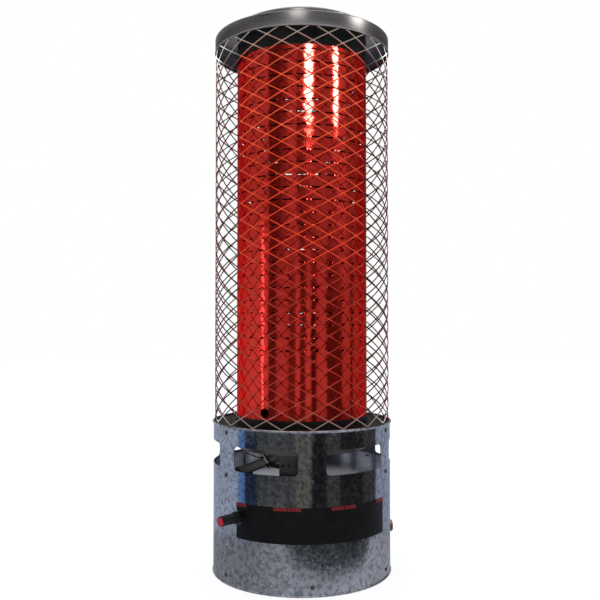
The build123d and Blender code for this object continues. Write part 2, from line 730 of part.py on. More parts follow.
def wall_nut(width, bore):
    """A nut drawn up against the inside of the wall, in the place of its fitting."""
    depth = SHEET + seat_depth(width, WALL_INSIDE)
    return Pos(-depth, 0, 0) * hex_nut(width, bore + THREAD_GAP, NUT_THICKNESS)


def reset_barrel():
    bore = BARREL_TIP_RADIUS - BARREL_RIM
    stem = STEM_RADIUS + RUNNING_FIT
    return valve_place() * turned_along_x(
        (-BARREL_NECK_LENGTH, stem),
        (-BARREL_NECK_LENGTH, BARREL_NECK_RADIUS),
        (SEAT_GAP, BARREL_NECK_RADIUS),
        (SEAT_GAP, BARREL_FLANGE_RADIUS),
        (BARREL_FLANGE_LENGTH, BARREL_FLANGE_RADIUS),
        (BARREL_FLANGE_LENGTH, BARREL_BODY_RADIUS),
        (BARREL_LENGTH, BARREL_TIP_RADIUS),
        (BARREL_LENGTH, bore),
        (BARREL_FLOOR, bore),
        (BARREL_FLOOR, stem),
    )


def barrel_nut():
    return valve_place() * wall_nut(BARREL_NUT_HEX, BARREL_NECK_RADIUS)


def valve_body():
    """The valve's body: the barrel screws into it, one boss takes the inlet pipe and one the feed pipe."""
    neck_end = -(BARREL_NECK_LENGTH + SEAT_GAP)
    middle = neck_end - VALVE_BODY_LENGTH / 2
    width = VALVE_BODY_WIDTH
    body = Pos(VALVE_BOSS_X, 0, 0) * Box(VALVE_BODY_LENGTH, width, width)
    body -= turned_along_x(
        (VALVE_BODY_X, 0),
        (VALVE_BODY_X, BARREL_NECK_RADIUS + THREAD_GAP),
        (neck_end, BARREL_NECK_RADIUS + THREAD_GAP),
        (neck_end, STEM_RADIUS + RUNNING_FIT),
        (middle, STEM_RADIUS + RUNNING_FIT),
        (middle, 0),
    )
    boss = Box(VALVE_BOSS_WIDTH, VALVE_BOSS_WIDTH, VALVE_BOSS_REACH - width / 2)
    socket = Cylinder(PIPE_RADIUS + PIPE_GAP, 2 * PIPE_SOCKET)
    for side in (-1, 1):
        body += Pos(VALVE_BOSS_X, 0, side * (VALVE_BOSS_REACH + width / 2) / 2) * boss
        body -= Pos(VALVE_BOSS_X, 0, side * VALVE_BOSS_REACH) * socket
    return valve_place() * body


def magnet_cap():
    return valve_place() * Pos(LEAD_NUT_X, 0, 0) * hexagon(MAGNET_CAP_HEX, MAGNET_CAP_LENGTH)


def lead_nut():
    nut = hex_nut(LEAD_NUT_HEX, LEAD_RADIUS + PIPE_GAP, NUT_THICKNESS)
    return valve_place() * Pos(LEAD_NUT_X, 0, 0) * nut


def reset_button():
    """The push button's cap, bored from behind for its stem."""
    edge = BUTTON_EDGE
    hole = STEM_RADIUS + THREAD_GAP
    floor = BUTTON_FRONT - BUTTON_FACE
    return valve_place() * turned_along_x(
        (BUTTON_BACK, hole),
        (BUTTON_BACK, BUTTON_RADIUS),
        (BUTTON_FRONT - edge, BUTTON_RADIUS),
        (BUTTON_FRONT, BUTTON_RADIUS - edge),
        (BUTTON_FRONT, 0),
        (floor, 0),
        (floor, hole),
    )


def reset_stem():
    end = BUTTON_FRONT - BUTTON_FACE
    length = end + BARREL_NECK_LENGTH + BUTTON_TRAVEL
    return valve_place() * Pos(end - length / 2, 0, 0) * Rot(0, 90, 0) * Cylinder(STEM_RADIUS, length)


def reset_spring():
    """The return spring between the barrel's floor and the button's back."""
    start = BARREL_FLOOR + SPRING_WIRE / 2 + SEAT_GAP
    length = BUTTON_BACK - SPRING_WIRE / 2 - SEAT_GAP - start
    steps = SPRING_TURNS * SPRING_FACETS
    spots = []
    for step in range(steps + 1):
        turn = math.radians(FULL_TURN * step / SPRING_FACETS)
        across = SPRING_RADIUS * math.cos(turn)
        up = SPRING_RADIUS * math.sin(turn)
        spots.append(Vector(start + length * step / steps, across, up))
    wire = Plane(origin=spots[0], z_dir=spots[1] - spots[0]) * Rectangle(SPRING_WIRE, SPRING_WIRE)
    return valve_place() * sweep(wire, path=Polyline(*spots), transition=Transition.RIGHT)


# ---------------------------------------------------------------- gas inlet and pipes
def inlet_place():
    """The gas inlet's axis where it passes the wall; X points out of the wall."""
    return facing(INLET_ANGLE, BASE_RADIUS, INLET_Z)


def inlet_fitting():
    """The hexagonal inlet with its tapped mouth, its neck through the wall and the pipe's socket."""
    mouth = SEAT_GAP + INLET_HEX_LENGTH
    tail = -INLET_NECK_LENGTH
    passage = PIPE_RADIUS - PIPE_WALL
    neck = turned_along_x(
        (SEAT_GAP, 0),
        (SEAT_GAP, INLET_NECK_RADIUS),
        (tail, INLET_NECK_RADIUS),
        (tail, 0),
    )
    bores = turned_along_x(
        (mouth, 0),
        (mouth, INLET_THREAD_RADIUS),
        (mouth - INLET_THREAD_DEPTH, INLET_THREAD_RADIUS),
        (mouth - INLET_THREAD_DEPTH, passage),
        (tail + PIPE_SOCKET, passage),
        (tail + PIPE_SOCKET, PIPE_RADIUS + PIPE_GAP),
        (tail, PIPE_RADIUS + PIPE_GAP),
        (tail, 0),
    )
    head = Pos(SEAT_GAP, 0, 0) * hexagon(INLET_HEX, INLET_HEX_LENGTH)
    return inlet_place() * (neck + head - bores)


def inlet_nut():
    return inlet_place() * wall_nut(INLET_NUT_HEX, INLET_NECK_RADIUS)


def inlet_pipe():
    """From the inlet's socket across the drum and up into the valve's lower boss."""
    tail = BASE_RADIUS - INLET_NECK_LENGTH
    points = [
        point_at(INLET_ANGLE, tail + PIPE_SOCKET - SEAT_GAP, INLET_Z),
        point_at(INLET_ANGLE, INLET_PIPE_TURN, INLET_Z),
        point_at(VALVE_ANGLE, VALVE_BOSS_R, INLET_Z),
        point_at(VALVE_ANGLE, VALVE_BOSS_R, VALVE_Z - VALVE_BOSS_REACH + PIPE_SOCKET - SEAT_GAP),
    ]
    return rod_along(points, PIPE_BEND, PIPE_RADIUS)


def feed_pipe():
    """From the valve's upper boss through the tray into the jet."""
    points = [
        point_at(VALVE_ANGLE, VALVE_BOSS_R, VALVE_Z + VALVE_BOSS_REACH - PIPE_SOCKET + SEAT_GAP),
        point_at(VALVE_ANGLE, VALVE_BOSS_R, VALVE_Z + FEED_RISE),
        point_at(MIXER_ANGLE, JET_PIPE_R, VALVE_Z + FEED_RISE + FEED_BEND),
        point_at(MIXER_ANGLE, JET_PIPE_R, JET_Z - SEAT_GAP),
    ]
    return rod_along(points, FEED_BEND, PIPE_RADIUS)


# ---------------------------------------------------------------- flame sensing
def control_bracket():
    """The drilled plate between the tray and the burner drum."""
    outer = BRACKET_RADIUS
    inner = outer - BRACKET_SHEET
    tab = outer - BRACKET_TAB
    plate = strap(
        BRACKET_WIDTH,
        (outer, TRAY_TOP),
        (outer, DRUM_BOTTOM),
        (tab, DRUM_BOTTOM),
        (tab, DRUM_BOTTOM - BRACKET_SHEET),
        (inner, DRUM_BOTTOM - BRACKET_SHEET),
        (inner, TRAY_TOP + BRACKET_SHEET),
        (tab, TRAY_TOP + BRACKET_SHEET),
        (tab, TRAY_TOP),
    )
    hole = Rot(0, 90, 0) * Cylinder(BRACKET_HOLE_RADIUS, 4 * BRACKET_SHEET)
    holes = [Pos(outer, side * BRACKET_HOLE_PITCH, BRACKET_HOLE_Z) * hole for side in (-1, 0, 1)]
    return facing(BRACKET_ANGLE) * (plate - holes)


def sensor_top():
    return point_at(SENSOR_TOP_ANGLE, DRUM_RADIUS - SENSOR_TOP_INSET, DECK_TOP - SENSOR_TOP_DROP)


def sensor_foot():
    return point_at(SENSOR_FOOT_ANGLE, DRUM_RADIUS - SENSOR_FOOT_INSET, DECK_TOP - SENSOR_FOOT_DROP)


def thermocouple():
    """The sensor's sleeve, and the thin tip bent over to the burner."""
    foot = sensor_foot()
    top = sensor_top()
    along = (top - foot).normalized()
    sleeve = Plane(origin=foot, z_dir=along) * Cylinder(
        SENSOR_RADIUS, (top - foot).length, align=(Align.CENTER, Align.CENTER, Align.MIN)
    )
    tip = point_at(SENSOR_TOP_ANGLE, SENSOR_TIP_R, DECK_TOP - SENSOR_TIP_DROP)
    bend = top + along * SENSOR_STRAIGHT
    return sleeve + rod_along([top - along, bend, tip], SENSOR_BEND, SENSOR_TIP_RADIUS, 8)


def thermocouple_clamp():
    """The strip from the bracket's plate to the ring round the sleeve."""
    foot = sensor_foot()
    along = (sensor_top() - foot).normalized()
    middle = foot + (sensor_top() - foot) * CLAMP_PLACE
    ring_place = Plane(origin=middle, z_dir=along)
    bore = SENSOR_RADIUS + THREAD_GAP
    tab_radius = BRACKET_RADIUS - BRACKET_SHEET
    tab_width = 2 * CLAMP_WIDTH
    tab_place = facing(BRACKET_ANGLE, tab_radius - CLAMP_SHEET / 2, middle.Z)
    tab_edge = (tab_width - BRACKET_WIDTH) / 2
    tab = tab_place * Pos(0, tab_edge, 0) * Box(CLAMP_SHEET, tab_width, CLAMP_WIDTH)
    start = (tab_place * Pos(-CLAMP_SHEET / 2, tab_edge, 0)).position
    run = middle - start
    strip = Plane(origin=start, x_dir=run, z_dir=(0, 0, 1)) * Box(
        run.length, CLAMP_SHEET, CLAMP_WIDTH, align=(Align.MIN, Align.CENTER, Align.CENTER)
    )
    ring = ring_place * Cylinder(bore + CLAMP_SHEET, CLAMP_WIDTH)
    return tab + strip + ring - ring_place * Cylinder(bore, 4 * CLAMP_WIDTH)


def thermocouple_lead():
    """The thin lead from the sleeve, down through the tray and round to the valve's magnet."""
    along = (sensor_top() - sensor_foot()).normalized()
    side = Vector(0, 0, 1).cross(along).normalized()
    start = sensor_top() - along * SENSOR_RADIUS
    points = [
        start + side * (SENSOR_RADIUS + THREAD_GAP),
        start + side * (SENSOR_RADIUS + 2 * LEAD_BEND),
        point_at(LEAD_HOLE_ANGLE, LEAD_HOLE_R, DRUM_BOTTOM - LEAD_DROP),
        point_at(LEAD_HOLE_ANGLE, LEAD_HOLE_R, VALVE_Z),
        point_at(VALVE_ANGLE, BASE_RADIUS + LEAD_NUT_X - LEAD_TAIL, VALVE_Z),
        point_at(VALVE_ANGLE, BASE_RADIUS + LEAD_NUT_X, VALVE_Z),
    ]
    return rod_along(points, LEAD_BEND, LEAD_RADIUS, 6)


# ---------------------------------------------------------------- label
def label_panels():
    """The angles at which each panel starts and ends."""
    pitch = LABEL_PANEL_SPAN + LABEL_GAP
    first = LABEL_CENTRE - (LABEL_PANELS * pitch - LABEL_GAP) / 2
    return [(first + i * pitch, first + i * pitch + LABEL_PANEL_SPAN) for i in range(LABEL_PANELS)]


def label_piece(bottom, start, end):
    inside = BASE_RADIUS + LABEL_FILM / 2
    return wall_sector(inside, LABEL_FILM, bottom, LABEL_TOP, start, end)


def label_tabs():
    """The coloured corner pieces at the top of each panel."""
    bottom = LABEL_TOP - LABEL_TAB_HEIGHT
    tabs = []
    for start, end in label_panels():
        tabs.append(label_piece(bottom, start, start + LABEL_TAB_SPAN))
        tabs.append(label_piece(bottom, end - LABEL_TAB_SPAN, end))
    return tabs


def label_band():
    round_barrel = valve_place() * Rot(0, 90, 0) * Cylinder(BARREL_FLANGE_RADIUS + SHEET, 8 * SHEET)
    panels = [label_piece(LABEL_BOTTOM, start, end) for start, end in label_panels()]
    return [panel - label_tabs() - round_barrel for panel in panels]


# ---------------------------------------------------------------- all pieces
def single_pieces():
    return {
        "base_shell": base_shell(),
        "bottom_pan": pan_with_rim(BOTTOM_PAN_Z, BOTTOM_PAN_FLANGE),
        "burner_tray": burner_tray(),
        "deck_pan": deck_pan(),
        "burner_drum": burner_drum(),
        "radiant_tube": radiant_tube(),
        "foot_ring": foot_ring(),
        "tube_cap": tube_cap(),
        "cap_band": cap_band(),
        "cap_plate": cap_plate(),
        "cap_lid": cap_lid(),
        "lid_spacer": lid_spacer(),
        "centre_bolt": centre_bolt(),
        "centre_nut": centre_nut(),
        "mixer_tube": mixer_tube(),
        "burner_head": burner_head(),
        "burner_stand": burner_stand(),
        "mixer_saddle": mixer_saddle(),
        "gas_jet": gas_jet(),
        "flame_spreader": flame_spreader(),
        "reset_barrel": reset_barrel(),
        "barrel_nut": barrel_nut(),
        "valve_body": valve_body(),
        "magnet_cap": magnet_cap(),
        "lead_nut": lead_nut(),
        "reset_button": reset_button(),
        "reset_stem": reset_stem(),
        "reset_spring": reset_spring(),
        "inlet_fitting": inlet_fitting(),
        "inlet_nut": inlet_nut(),
        "inlet_pipe": inlet_pipe(),
        "feed_pipe": feed_pipe(),
        "control_bracket": control_bracket(),
        "thermocouple": thermocouple(),
        "thermocouple_clamp": thermocouple_clamp(),
        "thermocouple_lead": thermocouple_lead(),
    }


def grouped_pieces():
    return {
        "deck_screws": wall_screws(DECK_TOP - SCREW_DROP),
        "tray_screws": wall_screws(TRAY_Z + SCREW_RISE),
        "bottom_screws": wall_screws(BOTTOM_PAN_Z + SCREW_RISE),
        "guard_mesh": guard_mesh(),
        "label_band": label_band(),
        "label_tabs": label_tabs(),
    }


os.makedirs("parts", exist_ok=True)
for name, piece in single_pieces().items():
    export_step(piece, f"parts/{name}.step")
for name, pieces in grouped_pieces().items():
    export_step(Compound(children=pieces), f"parts/{name}.step")
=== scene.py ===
import math

import bpy
from mathutils import Matrix, Vector


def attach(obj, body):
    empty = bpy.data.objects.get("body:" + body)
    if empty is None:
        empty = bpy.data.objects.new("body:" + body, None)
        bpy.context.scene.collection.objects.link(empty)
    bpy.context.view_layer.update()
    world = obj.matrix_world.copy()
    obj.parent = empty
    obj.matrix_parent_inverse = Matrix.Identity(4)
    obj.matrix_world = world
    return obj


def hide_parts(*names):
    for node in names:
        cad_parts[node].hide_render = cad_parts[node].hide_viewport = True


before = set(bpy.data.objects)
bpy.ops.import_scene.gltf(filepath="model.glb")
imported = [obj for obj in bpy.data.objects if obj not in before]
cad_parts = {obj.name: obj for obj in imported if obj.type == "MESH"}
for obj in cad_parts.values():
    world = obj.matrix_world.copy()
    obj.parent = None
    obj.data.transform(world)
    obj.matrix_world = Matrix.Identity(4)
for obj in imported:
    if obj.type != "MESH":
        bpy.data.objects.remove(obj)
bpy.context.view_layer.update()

# Looks for the upright radiant heater. Sizes are in millimetres. Angles are in degrees from the front
# (-Y) towards +X.
MM = 0.001
CORE = 0.05  # turned outlines stop this far from their axis

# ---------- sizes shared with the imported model
BASE_RADIUS = 190.5
SHEET = 1.2
BASE_HEIGHT = 319.5
DECK_TOP = 316.0
TUBE_RADIUS = 141.0
TUBE_TOP = 1092.0
CAP_TOP = 1142.4
CAP_BOTTOM = 1111.4
CAP_RADIUS = 189.0
PLATE_TOP = 1141.5
LID_TOP = 1168.4
LID_RADIUS = 142.0
GUARD_RADIUS = 187.7
VALVE_ANGLE = -48.0
VALVE_Z = 142.0
INLET_ANGLE = 90.0
INLET_Z = 83.0
LABEL_CENTRE = 2.3
LABEL_PITCH = 34.4
LABEL_BOTTOM = 101.0
LABEL_TOP = 171.4
FLOOR_TOP = -0.2
FLOOR_RADIUS = 9000.0

# ---------- the photograph's camera
CAMERA_ANGLE = -6.3
CAMERA_DISTANCE = 1694.8
CAMERA_HEIGHT = 536.0
CAMERA_PITCH = 1.40
CAMERA_TURN = 0.129  # it aims this far left of the heater's axis
CAMERA_LENS = 46.56
CAMERA_SENSOR = 36.0


# ---------- places and outlines
def spot(angle, radius, z):
    """A point in metres, from its angle round the heater, its distance from the axis and its height."""
    turn = math.radians(angle)
    return Vector((radius * math.sin(turn), -radius * math.cos(turn), z)) * MM


def outward(angle, radius, z):
    """A place on a round wall for shapes in millimetres: its Z axis points outwards and its Y axis up."""
    turn = math.radians(angle)
    normal = Vector((math.sin(turn), -math.cos(turn), 0))
    across = Vector((math.cos(turn), math.sin(turn), 0))
    up = Vector((0, 0, 1))
    place = Matrix((across, up, normal)).transposed().to_4x4()
    place.translation = spot(angle, radius, z)
    return place @ Matrix.Scale(MM, 4)


UPRIGHT = Matrix.Scale(MM, 4)


def turned(place, radius, turn, height):
    """A point of a place, at an angle in radians round the place's Z axis."""
    return place @ Vector((radius * math.cos(turn), radius * math.sin(turn), height))


def between(a, b, t):
    """The flat point that is a share t of the way from a to b."""
    return a[0] + (b[0] - a[0]) * t, a[1] + (b[1] - a[1]) * t


def arc(middle_r, middle_z, radius, start, end, steps=6):
    """Points on an arc of an outline; angles count from the outward direction, upwards."""
    points = []
    for step in range(steps + 1):
        turn = math.radians(start + (end - start) * step / steps)
        points.append((middle_r + radius * math.cos(turn), middle_z + radius * math.sin(turn)))
    return points


# ---------- mesh making
class Shape:
    """Vertices and faces, gathered for one piece, with each face's material and its corners' normals."""

    def __init__(self):
        self.points = []
        self.faces = []
        self.materials = []
        self.normals = []

    def add(self, points, faces, material=0, normals=None):
        first = len(self.points)
        self.points += [Vector(point) for point in points]
        for face in faces:
            self.faces.append([first + corner for corner in face])
            self.materials.append(material)
            self.normals.append([normals[corner] for corner in face] if normals else None)

    def lathe(self, outline, place=UPRIGHT, segments=160, shade_within=0.0, shade_below=math.inf):
        """A ring turned about the place's Z axis from a closed (radius, height) outline.

        Faces within the given shade radius and below the given shade height take the second material, which
        paints shade on the inner faces.
        """
        points = []
        for segment in range(segments):
            turn = 2 * math.pi * segment / segments
            points += [turned(place, radius, turn, height) for radius, height in outline]
        faces = []
        count = len(outline)
        for segment in range(segments):
            near, far = segment * count, (segment + 1) % segments * count
            for step in range(count):
                after = (step + 1) % count
                faces.append((near + step, far + step, far + after, near + after))
        self.add(points, faces)
        shaded_faces = []
        for (radius, height), (next_radius, next_height) in zip(outline, outline[1:] + outline[:1]):
            within = max(radius, next_radius) <= shade_within
            below = max(height, next_height) <= shade_below
            shaded_faces.append(int(within and below))
        self.materials[-len(faces):] = shaded_faces * segments

    def prism(self, sides, width, levels, place=UPRIGHT, start=0.0):
        """A many-sided bar along Z. Its levels are (share of the width, height), from the bottom up."""
        reach = width / 2 / math.cos(math.pi / sides)
        points = []
        for share, height in levels:
            for side in range(sides):
                turn = math.radians(start) + 2 * math.pi * side / sides
                points.append(turned(place, share * reach, turn, height))
        faces = [tuple(reversed(range(sides)))]
        for level in range(len(levels) - 1):
            low, high = level * sides, (level + 1) * sides
            for side in range(sides):
                after = (side + 1) % sides
                faces.append((low + side, low + after, high + after, high + side))
        faces.append(tuple(range((len(levels) - 1) * sides, len(levels) * sides)))
        self.add(points, faces)

    def finish(self, name, materials, body="heater", nodes=(), sharp=32.0):
        mesh = bpy.data.meshes.new(name)
        mesh.from_pydata(self.points, [], self.faces)
        for polygon, material in zip(mesh.polygons, self.materials):
            polygon.use_smooth = True
            polygon.material_index = material
        for material in materials:
            mesh.materials.append(material)
        mesh.set_sharp_from_angle(angle=math.radians(sharp))
        if any(self.normals):
            corners = []
            for polygon, normals in zip(mesh.polygons, self.normals):
                corners += normals or [polygon.normal] * len(polygon.vertices)
            mesh.normals_split_custom_set([tuple(normal) for normal in corners])
        piece = bpy.data.objects.new(name, mesh)
        bpy.context.scene.collection.objects.link(piece)
        if nodes:
            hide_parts(*nodes)
        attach(piece, body)
        return piece


# ---------- round walls with openings
def rounded_outline(middle, half, corner, counts, steps=6):
    """A rounded rectangle's (arc, height) points, anticlockwise from its lower right.

    half is half its width and height, and counts are the steps along its flat sides.
    """
    (u, z), (half_u, half_z), (count_u, count_z) = middle, half, counts
    flat_u, flat_z = half_u - corner, half_z - corner
    points = []
    for side, (sign_u, sign_z) in enumerate(((1, 1), (-1, 1), (-1, -1), (1, -1))):
        if side % 2 == 0:
            start, count = (u + sign_u * half_u, z - sign_z * flat_z), count_z
            end = (u + sign_u * half_u, z + sign_z * flat_z)
        else:
            start, count = (u - sign_u * flat_u, z + sign_z * half_z), count_u
            end = (u + sign_u * flat_u, z + sign_z * half_z)
        points += [between(start, end, step / count) for step in range(count)]
        turn = 90 * side
        points += arc(u + sign_u * flat_u, z + sign_z * flat_z, corner, turn, turn + 90, steps)[:-1]
    return points


def border_outline(cell, middle, half, corner, counts, steps=6):
    """The points on a cell's border that match those of the rounded opening in it."""
    (u0, u1, z0, z1), (u, z), (half_u, half_z), (count_u, count_z) = cell, middle, half, counts
    flat_u, flat_z = half_u - corner, half_z - corner
    sides = (
        ((u1, z - flat_z), (u1, z + flat_z), (u1, z1), (u + flat_u, z1), count_z),
        ((u + flat_u, z1), (u - flat_u, z1), (u0, z1), (u0, z + flat_z), count_u),
        ((u0, z + flat_z), (u0, z - flat_z), (u0, z0), (u - flat_u, z0), count_z),
        ((u - flat_u, z0), (u + flat_u, z0), (u1, z0), (u1, z - flat_z), count_u),
    )
    points = []
    for start, end, turn, after, count in sides:
        points += [between(start, end, step / count) for step in range(count)]
        for step in range(steps):
            t = 2 * step / steps
            points.append(between(end, turn, t) if t <= 1 else between(turn, after, t - 1))
    return points


class Wall:
    """A round sheet wall, drawn flat as (arc, height) and wrapped round the heater's axis."""

    def __init__(self, radius, thickness, swell=None):
        self.radius = radius
        self.thickness = thickness
        self.swell = swell or (lambda u, z: 0.0)
        self.index = {}
        self.spots = []
        self.faces = []

    def corner(self, point):
        """The number of the corner at a point. The last arc length meets the first."""
        round_once = 2 * math.pi * self.radius
        u = point[0] % round_once
        key = (round(u, 3) % round(round_once, 3), round(point[1], 3))
        if key not in self.index:
            self.index[key] = len(self.spots)
            self.spots.append((u, point[1]))
        return self.index[key]

    def face(self, points):
        """A face between the points, less those that fall together."""
        corners = []
        for point in points:
            corner = self.corner(point)
            if corner not in corners:
                corners.append(corner)
        if len(corners) > 2:
            self.faces.append(corners)

    def band(self, inner, outer):
        """Quads between two matched closed outlines, the inner one nearer the opening."""
        for step in range(len(inner)):
            after = (step + 1) % len(inner)
            self.face((inner[step], outer[step], outer[after], inner[after]))

    def plain(self, u0, u1, z0, z1, count):
        """A row of quads between two arc lengths and two heights."""
        for step in range(count):
            left = u0 + (u1 - u0) * step / count
            right = u0 + (u1 - u0) * (step + 1) / count
            self.face(((left, z0), (right, z0), (right, z1), (left, z1)))

    def opening(self, cell, middle, half, corner, counts, collar, steps=6):
        """The wall in a cell, less a rounded opening with a collar of quads round it."""
        hole = rounded_outline(middle, half, corner, counts, steps)
        wide = (half[0] + collar, half[1] + collar)
        rim = rounded_outline(middle, wide, corner + collar, counts, steps)
        self.band(hole, rim)
        self.band(rim, border_outline(cell, middle, wide, corner + collar, counts, steps))

    def place(self, u, z, depth=0.0):
        turn = u / self.radius
        radius = self.radius + self.swell(u, z) - depth
        return Vector((radius * math.sin(turn), -radius * math.cos(turn), z)) * MM

    def normal(self, u, z):
        step = 0.4
        along = self.place(u + step, z) - self.place(u - step, z)
        upwards = self.place(u, z + step) - self.place(u, z - step)
        return along.cross(upwards).normalized()

    def into(self, shape, edge_material=0, inner_material=0):
        """Adds the wall's two faces and the edges between them to a shape."""
        outer = [self.place(u, z) for u, z in self.spots]
        inner = [self.place(u, z, self.thickness) for u, z in self.spots]
        normals = [self.normal(u, z) for u, z in self.spots]
        shape.add(outer, self.faces, normals=normals)
        backs = [tuple(reversed(face)) for face in self.faces]
        shape.add(inner, backs, inner_material, [-normal for normal in normals])
        uses = {}
        for face in self.faces:
            for a, b in zip(face, face[1:] + face[:1]):
                uses[(a, b)] = True
        count = len(self.spots)
        rim = [(b, a, a + count, b + count) for a, b in uses if (b, a) not in uses]
        shape.add(outer + inner, rim, edge_material)


# ---------- node making
class Nodes:
    """A node tree under construction."""

    def __init__(self, tree):
        self.tree = tree

    def node(self, kind, **settings):
        node = self.tree.nodes.new(kind)
        for name, value in settings.items():
            setattr(node, name, value)
        return node

    def link(self, source, target):
        self.tree.links.new(source, target)

    def give(self, target, value):
        """Links an output, or sets a constant number or colour."""
        if isinstance(value, bpy.types.NodeSocket):
            self.link(value, target)
        elif isinstance(value, tuple) and len(value) == 3:
            target.default_value = (*value, 1.0)
        else:
            target.default_value = value

    def math(self, operation, a, b=0.0):
        node = self.node("ShaderNodeMath", operation=operation)
        self.give(node.inputs[0], a)
        self.give(node.inputs[1], b)
        return node.outputs[0]

    def split(self, vector):
        node = self.node("ShaderNodeSeparateXYZ")
        self.link(vector, node.inputs[0])
        return node.outputs

    def channel(self, colour):
        """One channel of a colour, as a number."""
        node = self.node("ShaderNodeSeparateColor")
        self.link(colour, node.inputs[0])
        return node.outputs[0]

    def turn(self, vector):
        """The angle round the heater of a place or a direction, in radians from the front."""
        x, y, _ = self.split(vector)
        return self.math("ARCTAN2", x, self.math("MULTIPLY", y, -1.0))

    def ramp(self, factor, stops):
        node = self.node("ShaderNodeValToRGB")
        elements = node.color_ramp.elements
        while len(elements) < len(stops):
            elements.new(0.5)
        for element, (position, colour) in zip(elements, stops):
            element.position = position
            element.color = (*colour, 1.0)
        self.link(factor, node.inputs[0])
        return node.outputs["Color"]

    def levels(self, factor, low, high, to_low=0.0, to_high=1.0):
        node = self.node("ShaderNodeMapRange")
        self.link(factor, node.inputs["Value"])
        values = {"From Min": low, "From Max": high, "To Min": to_low, "To Max": to_high}
        for name, value in values.items():
            self.give(node.inputs[name], value)
        return node.outputs[0]

    def mix(self, factor, a, b):
        node = self.node("ShaderNodeMix", data_type="RGBA")
        self.give(node.inputs[0], factor)
        self.give(node.inputs[6], a)
        self.give(node.inputs[7], b)
        return node.outputs[2]


class Paint(Nodes):
    """A material under construction. Its surface is one Principled shader."""

    def __init__(self, name, **values):
        self.material = bpy.data.materials.new(name)
        self.material.use_nodes = True
        super().__init__(self.material.node_tree)
        self.shader = self.tree.nodes["Principled BSDF"]
        for socket, value in values.items():
            self.give(self.shader.inputs[socket.replace("_", " ")], value)
        self.coords = self.node("ShaderNodeTexCoord").outputs["Object"]

    def put(self, **sources):
        for socket, source in sources.items():
            self.link(source, self.shader.inputs[socket.replace("_", " ")])

    def stretched(self, scale, source=None):
        """Coordinates scaled along each axis."""
        node = self.node("ShaderNodeMapping")
        self.link(source or self.coords, node.inputs["Vector"])
        node.inputs["Scale"].default_value = scale
        return node.outputs[0]

    def wrapped(self, radius):
        """Coordinates along a round wall's arc and up it, in metres."""
        node = self.node("ShaderNodeCombineXYZ")
        self.link(self.math("MULTIPLY", self.turn(self.coords), radius * MM), node.inputs[0])
        self.link(self.split(self.coords)[2], node.inputs[1])
        return node.outputs[0]

    def noise(self, scale, detail=3.0, roughness=0.5, source=None):
        node = self.node("ShaderNodeTexNoise")
        self.link(source or self.coords, node.inputs["Vector"])
        node.inputs["Scale"].default_value = scale
        node.inputs["Detail"].default_value = detail
        node.inputs["Roughness"].default_value = roughness
        return node.outputs["Fac"]

    def cells(self, scale):
        node = self.node("ShaderNodeTexVoronoi")
        self.link(self.coords, node.inputs["Vector"])
        node.inputs["Scale"].default_value = scale
        return node.outputs["Color"]

    def bump(self, height, distance, strength=1.0):
        node = self.node("ShaderNodeBump")
        node.inputs["Distance"].default_value = distance * MM
        node.inputs["Strength"].default_value = strength
        self.link(height, node.inputs["Height"])
        self.put(Normal=node.outputs[0])


# ---------- materials
def galvanized():
    """Hot-dip zinc: small flat crystals of differing brightness, with irregular dark flecks."""
    paint = Paint("galvanized", Metallic=1.0)
    crystals = paint.channel(paint.cells(170.0))
    fine = paint.noise(380.0, 2.0, 0.6)
    cloud = paint.noise(11.0, 4.0, 0.6)
    flecks = paint.noise(115.0, 5.0, 0.62)
    tone = paint.math("ADD", paint.math("MULTIPLY", crystals, 0.5), paint.math("MULTIPLY", fine, 0.5))
    grey_tone = paint.ramp(tone, ((0.15, (0.44, 0.46, 0.49)), (0.85, (0.86, 0.88, 0.93))))
    clouded = paint.mix(paint.levels(cloud, 0.35, 0.7, 0.0, 0.5), grey_tone, (0.50, 0.52, 0.56))
    dark = paint.levels(flecks, 0.50, 0.57, 0.0, 0.68)
    paint.put(Base_Color=paint.mix(dark, clouded, (0.24, 0.25, 0.28)))
    paint.put(Roughness=paint.levels(tone, 0.2, 0.8, 0.05, 0.11))
    paint.bump(paint.math("ADD", fine, paint.math("MULTIPLY", cloud, 4.0)), 0.02, 0.5)
    return paint.material


def shaded_zinc_inside():
    """The drum's dull inner face, painted darker and bluer than its outside: painted shade with a bluish
    painted reflection.
    """
    paint = Paint("galvanized_inside_shade", Metallic=0.35)
    cloud = paint.noise(20.0, 4.0, 0.6)
    flecks = paint.noise(120.0, 3.0, 0.6)
    base = paint.ramp(cloud, ((0.3, (0.20, 0.22, 0.32)), (0.7, (0.34, 0.37, 0.50))))
    paint.put(Base_Color=paint.mix(paint.levels(flecks, 0.52, 0.66, 0.0, 0.5), base, (0.22, 0.23, 0.28)))
    paint.put(Roughness=paint.levels(flecks, 0.2, 0.8, 0.22, 0.40))
    paint.bump(flecks, 0.05)
    return paint.material


def painted_glow_tube():
    """Bright sheet run red hot: a mirror whose red cast is painted glow, with slight waves and a faint glow
    of its own.
    """
    paint = Paint("painted_glow_tube", Metallic=1.0, Specular_Tint=(0.95, 0.16, 0.12),
                  Coat_Weight=0.12, Coat_Roughness=0.05, Emission_Strength=1.0)
    drift = paint.noise(6.0, 3.0, 0.55, source=paint.stretched((1.0, 1.0, 0.35)))
    smudge = paint.noise(34.0, 4.0, 0.6)
    # Painted glow: the red base colour and the red edge tint stand for the hot sheet's light, not the
    # steel's own colour.
    paint.put(Base_Color=paint.ramp(drift, ((0.3, (0.78, 0.040, 0.030)), (0.7, (0.88, 0.056, 0.042)))))
    paint.put(Roughness=paint.levels(smudge, 0.3, 0.75, 0.05, 0.13))
    glow = ((0.3, (0.020, 0.0008, 0.0004)), (0.7, (0.034, 0.0014, 0.0008)))
    paint.put(Emission_Color=paint.ramp(drift, glow))
    paint.bump(paint.noise(26.0, 2.0, 0.5), 0.5, 0.35)
    return paint.material


